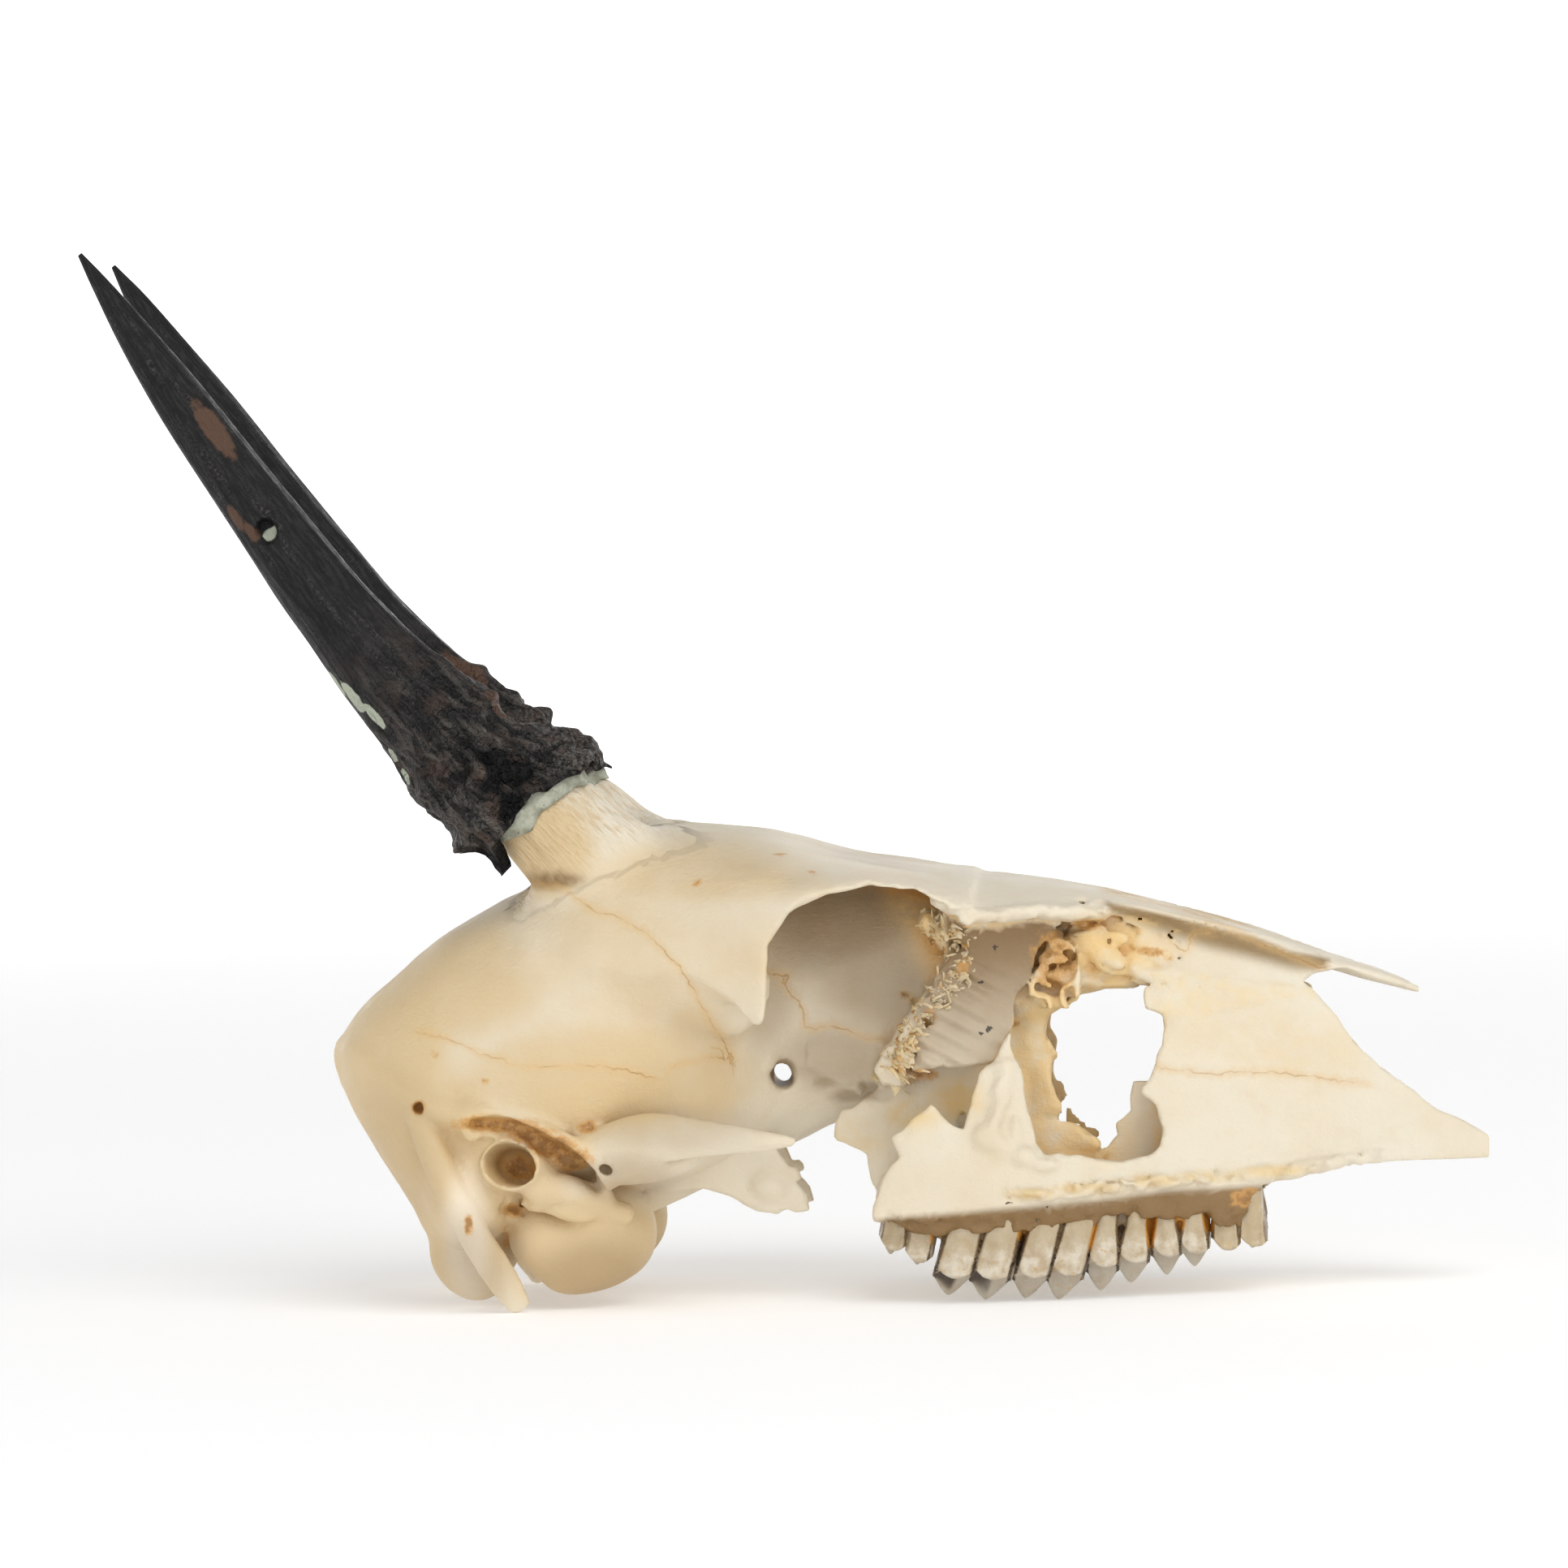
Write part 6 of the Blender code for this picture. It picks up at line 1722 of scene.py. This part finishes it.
# Broken and pitted places where it is amber
AMBER = [
    (-46, 27.4, 5, 1.4, 0.8), (-41.6, 27.0, 5, 1.4, 0.9), (-38.2, 25.6, 4.6, 1.8, 0.9),
    (-35.2, 23.8, 4.6, 2.2, 0.95), (-32.4, 21.8, 4, 2.2, 0.9), (-41.2, 14.4, 1.8, 1.5, 1.0),
    (-47.8, 12.4, 0.9, 2.2, 1.0), (-54.6, 29.8, 1.3, 1.3, 1.0), (-30.1, 26.5, 1.8, 1.3, 1.0),
    (-40.1, 20.9, 3.2, 2.4, 0.9), (-12.9, 62, 1.0, 0.8, 0.8), (-0.6, 65.7, 0.8, 0.6, 0.9),
    (4, 63, 0.6, 0.6, 0.7), (-31.3, 66.6, 1.6, 0.7, 0.6), (-45.3, 33.6, 1.0, 0.7, 0.8),
    (-52.2, 37.3, 0.9, 0.7, 0.7), (-56.1, 44.7, 1.0, 0.8, 0.7), (-42.3, 10.3, 0.8, 2.4, 0.8),
    (19.5, 33.2, 2.4, 1.0, 1.0), (17.0, 33.6, 1.6, 3.0, 0.6), (20.5, 41.5, 1.4, 2.0, 0.6),
    (25.4, 48.4, 1.2, 2.4, 0.7), (38.8, 49.2, 4.4, 5.6, 0.75), (44.0, 54.6, 4.0, 1.2, 0.7),
    (52.8, 50.4, 2.6, 1.0, 0.8), (66, 14.2, 3.6, 1.8, 0.9), (45.3, 61.2, 2.0, 0.9, 0.9),
    (70.9, 15.8, 2.0, 1.6, 0.5),
]
# How brown the plate in front of the eye is, by level: its own brown with painted shadow from the lip above
# it, darkest at the top
PLATE_SHADE_AND_TONE = [(34.0, 0.35), (44.0, 0.65), (50.0, 0.9), (56.0, 1.0)]
# Black specks: x, z, half length, half height
SPECKS = [
    (30.6, 51.5, 0.9, 0.4), (32.2, 51.9, 0.6, 0.3), (27.9, 46.5, 0.8, 0.35), (29.1, 39.7, 0.9, 0.4),
    (27.9, 39.1, 0.6, 0.3), (31.2, 14.1, 1.0, 0.3), (36.5, 13.5, 0.8, 0.3), (52.7, 54.2, 0.25, 0.25),
    (8.1, 25.1, 0.25, 0.3),
]
# Lines where two bones meet, and cracks
SEAMS = [
    [(-38.2, 62.4), (-33, 61.7), (-28.2, 58.1), (-24.6, 57.2), (-20.4, 54.5), (-16.4, 50.1),
     (-14.3, 47), (-12.3, 42.7), (-9.2, 37.6), (-8.5, 34.6)],
    [(-55.6, 41.2), (-50.3, 40), (-46.7, 38.2), (-43.1, 36.8), (-38.8, 35.4), (-33.6, 35.5),
     (-28.3, 35.4), (-24.7, 34.8), (-18.9, 32.8)],
    [(-18.3, 34.9), (-12.4, 36.3), (-8.2, 36)],
    [(-3, 49.3), (-2.5, 48.5), (-0.3, 48.1), (-0.3, 46), (1.8, 44), (2.2, 40.9), (2.3, 40),
     (6.5, 40.6), (8.3, 39.6), (10.9, 38.8), (14.1, 38.3)],
    [(52.4, 34.3), (55.3, 33), (61.8, 32.4), (68.9, 32.7), (76, 31.7), (85.4, 30.3)],
    [(45.4, 60), (50.6, 58.3), (56.5, 57), (62.4, 54.7), (69.4, 50.8), (78.7, 47)],
    [(54, 52.9), (58.1, 50.2), (59.4, 53.4), (62.3, 52.7)],
    [(16.3, 45.3), (17.4, 44.8), (18.1, 43.6)],
]


def spots(table, across, up):
    total = np.zeros(len(across))
    for x, z, length, height, strength in table:
        far = np.hypot((across - x) / length, (up - z) / height)
        total = np.maximum(total, strength * (1 - ramp(far, 0.35, 1.25)))
    return total


def nearest_seam(across, up):
    """Signed distance to the closest seam, with a wiggle, and how surely it is one."""
    best, signed, sure = np.full(len(across), 9.0), np.full(len(across), 9.0), np.zeros(len(across))
    for line in SEAMS:
        away, passed = line_distance(line, across, up)
        closer = np.abs(away) < best
        best = np.where(closer, np.abs(away), best)
        signed = np.where(closer, away, signed)
        inner = ramp(passed, 0.0, 0.03) * (1 - ramp(passed, 0.97, 1.0))
        sure = np.where(closer, inner, sure)
    return np.clip(signed, -2, 2), sure * (1 - ramp(best, 1.2, 2.0))


def paint_bone(obj, field, hollow):
    """Numbers for the bone's material: where it is warm, brown or amber, where shade or light is painted,
    in a hollow, or on a seam.
    """
    points = vertices(obj)
    across, up = side_view(*points.T)
    signed, sure = nearest_seam(across, up)
    give(obj, "seam", signed)
    give(obj, "seam_on", sure)
    far_out = np.abs(points[:, 1])
    plate = 1 - ramp(outline_distance(PLATE, across, up), -0.4, 0.6)
    under = between(RIDGE_UNDER, across) - up
    # painted shadow on the strip of bone under the ridge above the teeth
    ridge_shade = ramp(under, 0.1, 1.4) * fades(across, 10, 14, 70, 74) * ramp(far_out, 8, 11)
    # painted shadow and brown in the eye socket, kept off the outer bone
    socket = spots(SOCKET_SHADE_AND_BROWN, across, up) * (1 - ramp(far_out, 13.5, 17))
    brown = np.maximum(spots(BROWN, across, up), socket)
    deeper = 0.9 * ramp(across, 37, 40)
    rim = 1 - ramp(np.abs(up - between(LIP_LINE, across)), 1.1 + deeper, 1.8 + deeper)
    rim = rim * fades(across, 22, 24, 46, 48)
    plate = plate * ramp(far_out, 9, 11) * (1 - rim)
    # the plate's own brown and its painted shadow from the lip above
    brown = np.maximum(brown, plate * between(PLATE_SHADE_AND_TONE, up))
    # brown holds real stains and painted shadow: the top of the eye socket, the plate under its lip and the
    # strip under the ridge
    give(obj, "brown", np.maximum(brown, ridge_shade))
    give(obj, "speck", spots([(*speck, 1.0) for speck in SPECKS], across, up))
    # painted shadow under the nasal bone's overhanging edge, strongest near the edge
    band = 1 - ramp(outline_distance(NASAL_SHADOW_BAND, across, up), -0.3, 0.5)
    edge, foot = between(BAND_TOP, across), between(BAND_FOOT, across)
    give(obj, "band", band * ramp((up - foot) / np.maximum(edge - foot, 0.5), 0.0, 0.6))
    give(obj, "skin", 1 - ramp(outline_distance(MEMBRANE, across, up), -0.2, 0.5))
    for name, table in (("warm", WARM), ("painted_light", PAINTED_LIGHT_SPOTS), ("yellow", YELLOW), ("amber", AMBER)):
        give(obj, name, spots(table, across, up))
    deep = 1 - ramp(field.sample(hollow.values, points), 0.35, 1.0)
    along = points[:, 0] + (points[:, 2] - 40) * 0.5
    shell = ramp(points[:, 0], 45, 48) * (1 - ramp(points[:, 2], 33, 38)) * (1 - ramp(across, 52.5, 53.5))
    inner = deep * ramp(along, 22, 28) * (1 - ramp(points[:, 0], 56, 66))
    give(obj, "inner", inner * (1 - plate) * (1 - 0.8 * shell))
    give(obj, "proud", field.sample(field.blurred(1.5), points))
    give(obj, "wide", field.sample(field.blurred(4.0), points))


def bone_look():
    look = Look("bone", 0.5)
    cloud, patch, fine = look.noise(16.0, 3.0), look.noise(5.0, 3.0, 2.0), look.noise(0.8, 4.0, 3.0)
    proud, inner = look.read("proud"), look.read("inner")
    warm = look.add(look.read("warm"), (cloud, 0.8))
    look.colour = look.mix((0.76, 0.695, 0.56), (0.67, 0.51, 0.29), look.step(warm, 0.15, 1.1))
    look.lay("patches", (0.68, 0.54, 0.36), look.step(patch, 0.5, 0.8), 0.3)
    thin = look.step(look.noise(3.0, 3.0, 11.0), 0.2, 0.6)
    look.lay("yellow", (0.76, 0.54, 0.22), look.read("yellow"), thin, 0.8)
    # painted light: lighter bone on the tops of the brow and the nose and a few places at the back
    look.lay("painted_light", (0.93, 0.86, 0.73), look.read("painted_light"))
    # brown stains together with painted shadow in the eye socket, on the plate under its lip and on the
    # strip under the ridge
    look.lay("brown", (0.24, 0.14, 0.05), look.read("brown"), look.step(patch, -0.6, 0.3))
    # painted shadow: dark brown band under the nasal bone's overhanging edge
    look.lay("band", (0.27, 0.165, 0.055), look.read("band"), 0.9)
    # dirt and painted hollow shade: darker, browner bone in small hollows, where the distances blurred over
    # 1.5 mm sink
    look.lay("dirt", (0.46, 0.28, 0.11), look.step(look.add((proud, -1.4), (fine, 0.5)), 0.45, 1.3, 0.7))
    deep = look.step(look.noise(4.0, 3.0, 4.0), 0.2, 0.6)
    look.lay("inner", (0.80, 0.57, 0.26), inner, deep, 0.85)
    # painted hollow shade: deeper orange in the hollows of the face's inner bone, where the blurred
    # distances sink
    look.lay("folds", (0.60, 0.29, 0.06), inner, look.step(look.add(proud, (fine, -0.5)), -0.2, -0.9), 0.85)
    skin = look.step(look.noise(2.0, 3.0, 9.0), 0.3, 0.7)
    look.lay("skin", (0.78, 0.62, 0.36), look.read("skin"), skin, 0.6)
    ragged = look.add(look.noise(1.3, 4.0, 12.0), (look.noise(0.4, 3.0, 13.0), 0.5))
    amber = look.add(look.read("amber"), ragged)
    look.lay("amber", (0.60, 0.32, 0.09), look.step(amber, 1.0, 1.55), 0.85)
    look.lay("dark amber", (0.22, 0.10, 0.03), look.step(amber, 1.45, 1.75), 0.6)
    wiggle = look.sum("MULTIPLY", look.sum("SUBTRACT", look.noise(1.6, 3.0, 5.0), 0.5), 1.6)
    line = look.sum("ABSOLUTE", look.add(look.read("seam"), wiggle))
    seam = look.spread(look.step(line, 0.15, 0.02), look.read("seam_on"), look.step(patch, 0.3, 0.7))
    look.lay("halo", (0.70, 0.45, 0.18), look.step(line, 1.2, 0.05), look.read("seam_on"), 0.35)
    look.lay("seam", (0.58, 0.32, 0.10), seam, 0.7)
    speck = look.step(look.noise(0.5, 2.0, 6.0), 0.72, 0.8)
    look.lay("specks", (0.22, 0.13, 0.06), speck, look.step(cloud, 0.5, 0.7), 0.4)
    spot = look.add(look.read("speck"), look.noise(0.4, 3.0, 10.0))
    look.lay("black specks", (0.03, 0.025, 0.02), look.step(spot, 1.0, 1.2), 0.9)
    strand, fibre = look.noise(0.45, 3.0, 8.0, look.read("grain", True)), look.read("fibre")
    look.lay("fibres", (0.60, 0.40, 0.19), fibre, look.step(strand, 0.52, 0.36), 0.5)
    look.bump([
        (fine, 0.12), (look.noise(0.35, 3.0, 7.0), 0.06), (look.rest(seam), 0.12),
        (look.spread(strand, look.add(0.12, fibre)), 0.5),
    ])
    look.shader.inputs["Subsurface Weight"].default_value = 0.12
    look.shader.inputs["Subsurface Radius"].default_value = (1.0, 0.6, 0.35)
    look.shader.inputs["Subsurface Scale"].default_value = 0.0015
    return look.finish(look.add(0.42, look.step(patch, 0.3, 0.8, 0.2)))


def horn_place(points, side):
    """Where points are on one horn: distance along it from the tip, and reaches forwards and across."""
    tip, along, forwards, sideways = (np.array(v) for v in horn_frame(side))
    moved = points - tip
    s = moved @ along
    return s, moved @ forwards - read_stations(CORE_STATIONS, s, OFFSET), moved @ sideways


def carve_fibres(obj):
    """Grooves along the bony horn cores, and a number that says how fibrous the bone is."""
    points, normals = vertices(obj), np.empty(len(obj.data.vertices) * 3, np.float32)
    obj.data.vertices.foreach_get("normal", normals)
    grain, fibrous = points * (0.25, 1.0, 1.0), np.zeros(len(points))
    for side in SIDES.values():
        s, forth, across = horn_place(points, side)
        strength = ramp(s, 99, 103) * (1 - ramp(s + 0.25 * across - 0.3 * forth, 110, 119))
        strength = strength * (np.hypot(forth, across) < 14)
        place = np.stack([forth, across, s / 7.0], 1)
        grain[strength > 0] = place[strength > 0]
        fibrous = np.maximum(fibrous, strength)
    relief = noise_at(grain, 1.3, 91) * 0.32 + noise_at(grain, 0.7, 92) * 0.16
    points += normals.reshape(-1, 3) * (fibrous * (relief - 0.15))[:, None]
    obj.data.vertices.foreach_set("co", points.astype(np.float32).ravel())
    give(obj, "grain", grain * MM)
    give(obj, "fibre", fibrous)


def skull(material):
    field, hollow = cranium_field()
    obj = field.object("skull", BONE_TRIANGLES)
    carve_fibres(obj)
    paint_bone(obj, field, hollow)
    settle(obj, "cranium", material)
    for name, side in SIDES.items():
        flakes(name, side, field, material)


def add_camera():
    turn, lift = math.radians(EYE_TURN), math.radians(EYE_LIFT)
    target = Vector((EYE_TARGET + DRAWN_FROM) * MM)
    away = Vector((math.sin(turn) * math.cos(lift), -math.cos(turn) * math.cos(lift), math.sin(lift)))
    data = bpy.data.cameras.new("camera")
    data.sensor_width, data.lens, data.clip_end = SENSOR, LENS, 20.0
    camera = link("camera", data)
    look = (-away).to_track_quat("-Z", "Y").to_matrix().to_4x4()
    roll = Matrix.Rotation(math.radians(EYE_ROLL), 4, "Z")
    camera.matrix_world = Matrix.Translation(target + away * EYE_DISTANCE * MM) @ look @ roll
    bpy.context.scene.camera = camera


FLOOR_COLOUR, FLOOR_GLOW = (0.86, 0.86, 0.86, 1.0), 0.3
FLOOR_RINGS = [  # radius, height
    (0.02, 0.0), (0.6, 0.0), (1.2, 0.0), (2.0, 0.0), (2.6, 0.06), (3.0, 0.25), (3.2, 0.6), (3.25, 1.1),
]
FLOOR_TURNS = 96
WORLD_STRENGTH = 0.38
LIGHT_AIM = Vector((0, 0, 0.07))


def add_floor():
    """A bowl of a floor, whose far rim is above and behind the camera."""
    bm = bmesh.new()
    rings = []
    for radius, height in FLOOR_RINGS:
        turns = np.arange(FLOOR_TURNS) / FLOOR_TURNS * math.tau
        rings.append([bm.verts.new((radius * math.cos(t), radius * math.sin(t), height)) for t in turns])
    for one, other in zip(rings, rings[1:]):
        for i in range(FLOOR_TURNS):
            j = (i + 1) % FLOOR_TURNS
            bm.faces.new((one[i], one[j], other[j], other[i]))
    bm.faces.new(rings[0])
    floor = link_bmesh("floor", bm)
    look = Look("floor", 0.9)
    far = look.node("ShaderNodeVectorMath", {0: look.place}, operation="LENGTH").outputs["Value"]
    look.shader.inputs["Emission Color"].default_value = (1.0, 1.0, 1.0, 1.0)
    glow = look.add(FLOOR_GLOW, look.step(far, 0.3, 2.4, 0.9 - FLOOR_GLOW))
    look.plug(look.shader.inputs["Emission Strength"], glow)
    look.shader.inputs["Base Color"].default_value = FLOOR_COLOUR
    floor.data.materials.append(look.material)


def add_light(name, place, size, power):
    data = bpy.data.lights.new(name, "AREA")
    data.shape, data.size, data.energy = "DISK", size, power
    light = link(name, data)
    light.location = place
    light.rotation_euler = (LIGHT_AIM - Vector(place)).to_track_quat("-Z", "Y").to_euler()


def set_stage():
    world = bpy.data.worlds.new("studio")
    world.use_nodes = True
    sky = world.node_tree.nodes["Background"].inputs
    sky["Color"].default_value, sky["Strength"].default_value = (1.0, 1.0, 1.0, 1.0), WORLD_STRENGTH
    bpy.context.scene.world = world
    bpy.context.scene.view_settings.view_transform = "Standard"
    add_floor()
    add_light("key", place=(0.6, -1.1, 1.5), size=1.5, power=15.5)
    add_camera()


set_stage()
skull(bone_look())
HORN, FILLER, ENAMEL = horn_look(), filler_look(), tooth_look()
for name, side in SIDES.items():
    sheath(name, side, HORN)
    filler(name, side, FILLER)
    for entry in TEETH:
        tooth(entry, name, side, ENAMEL)
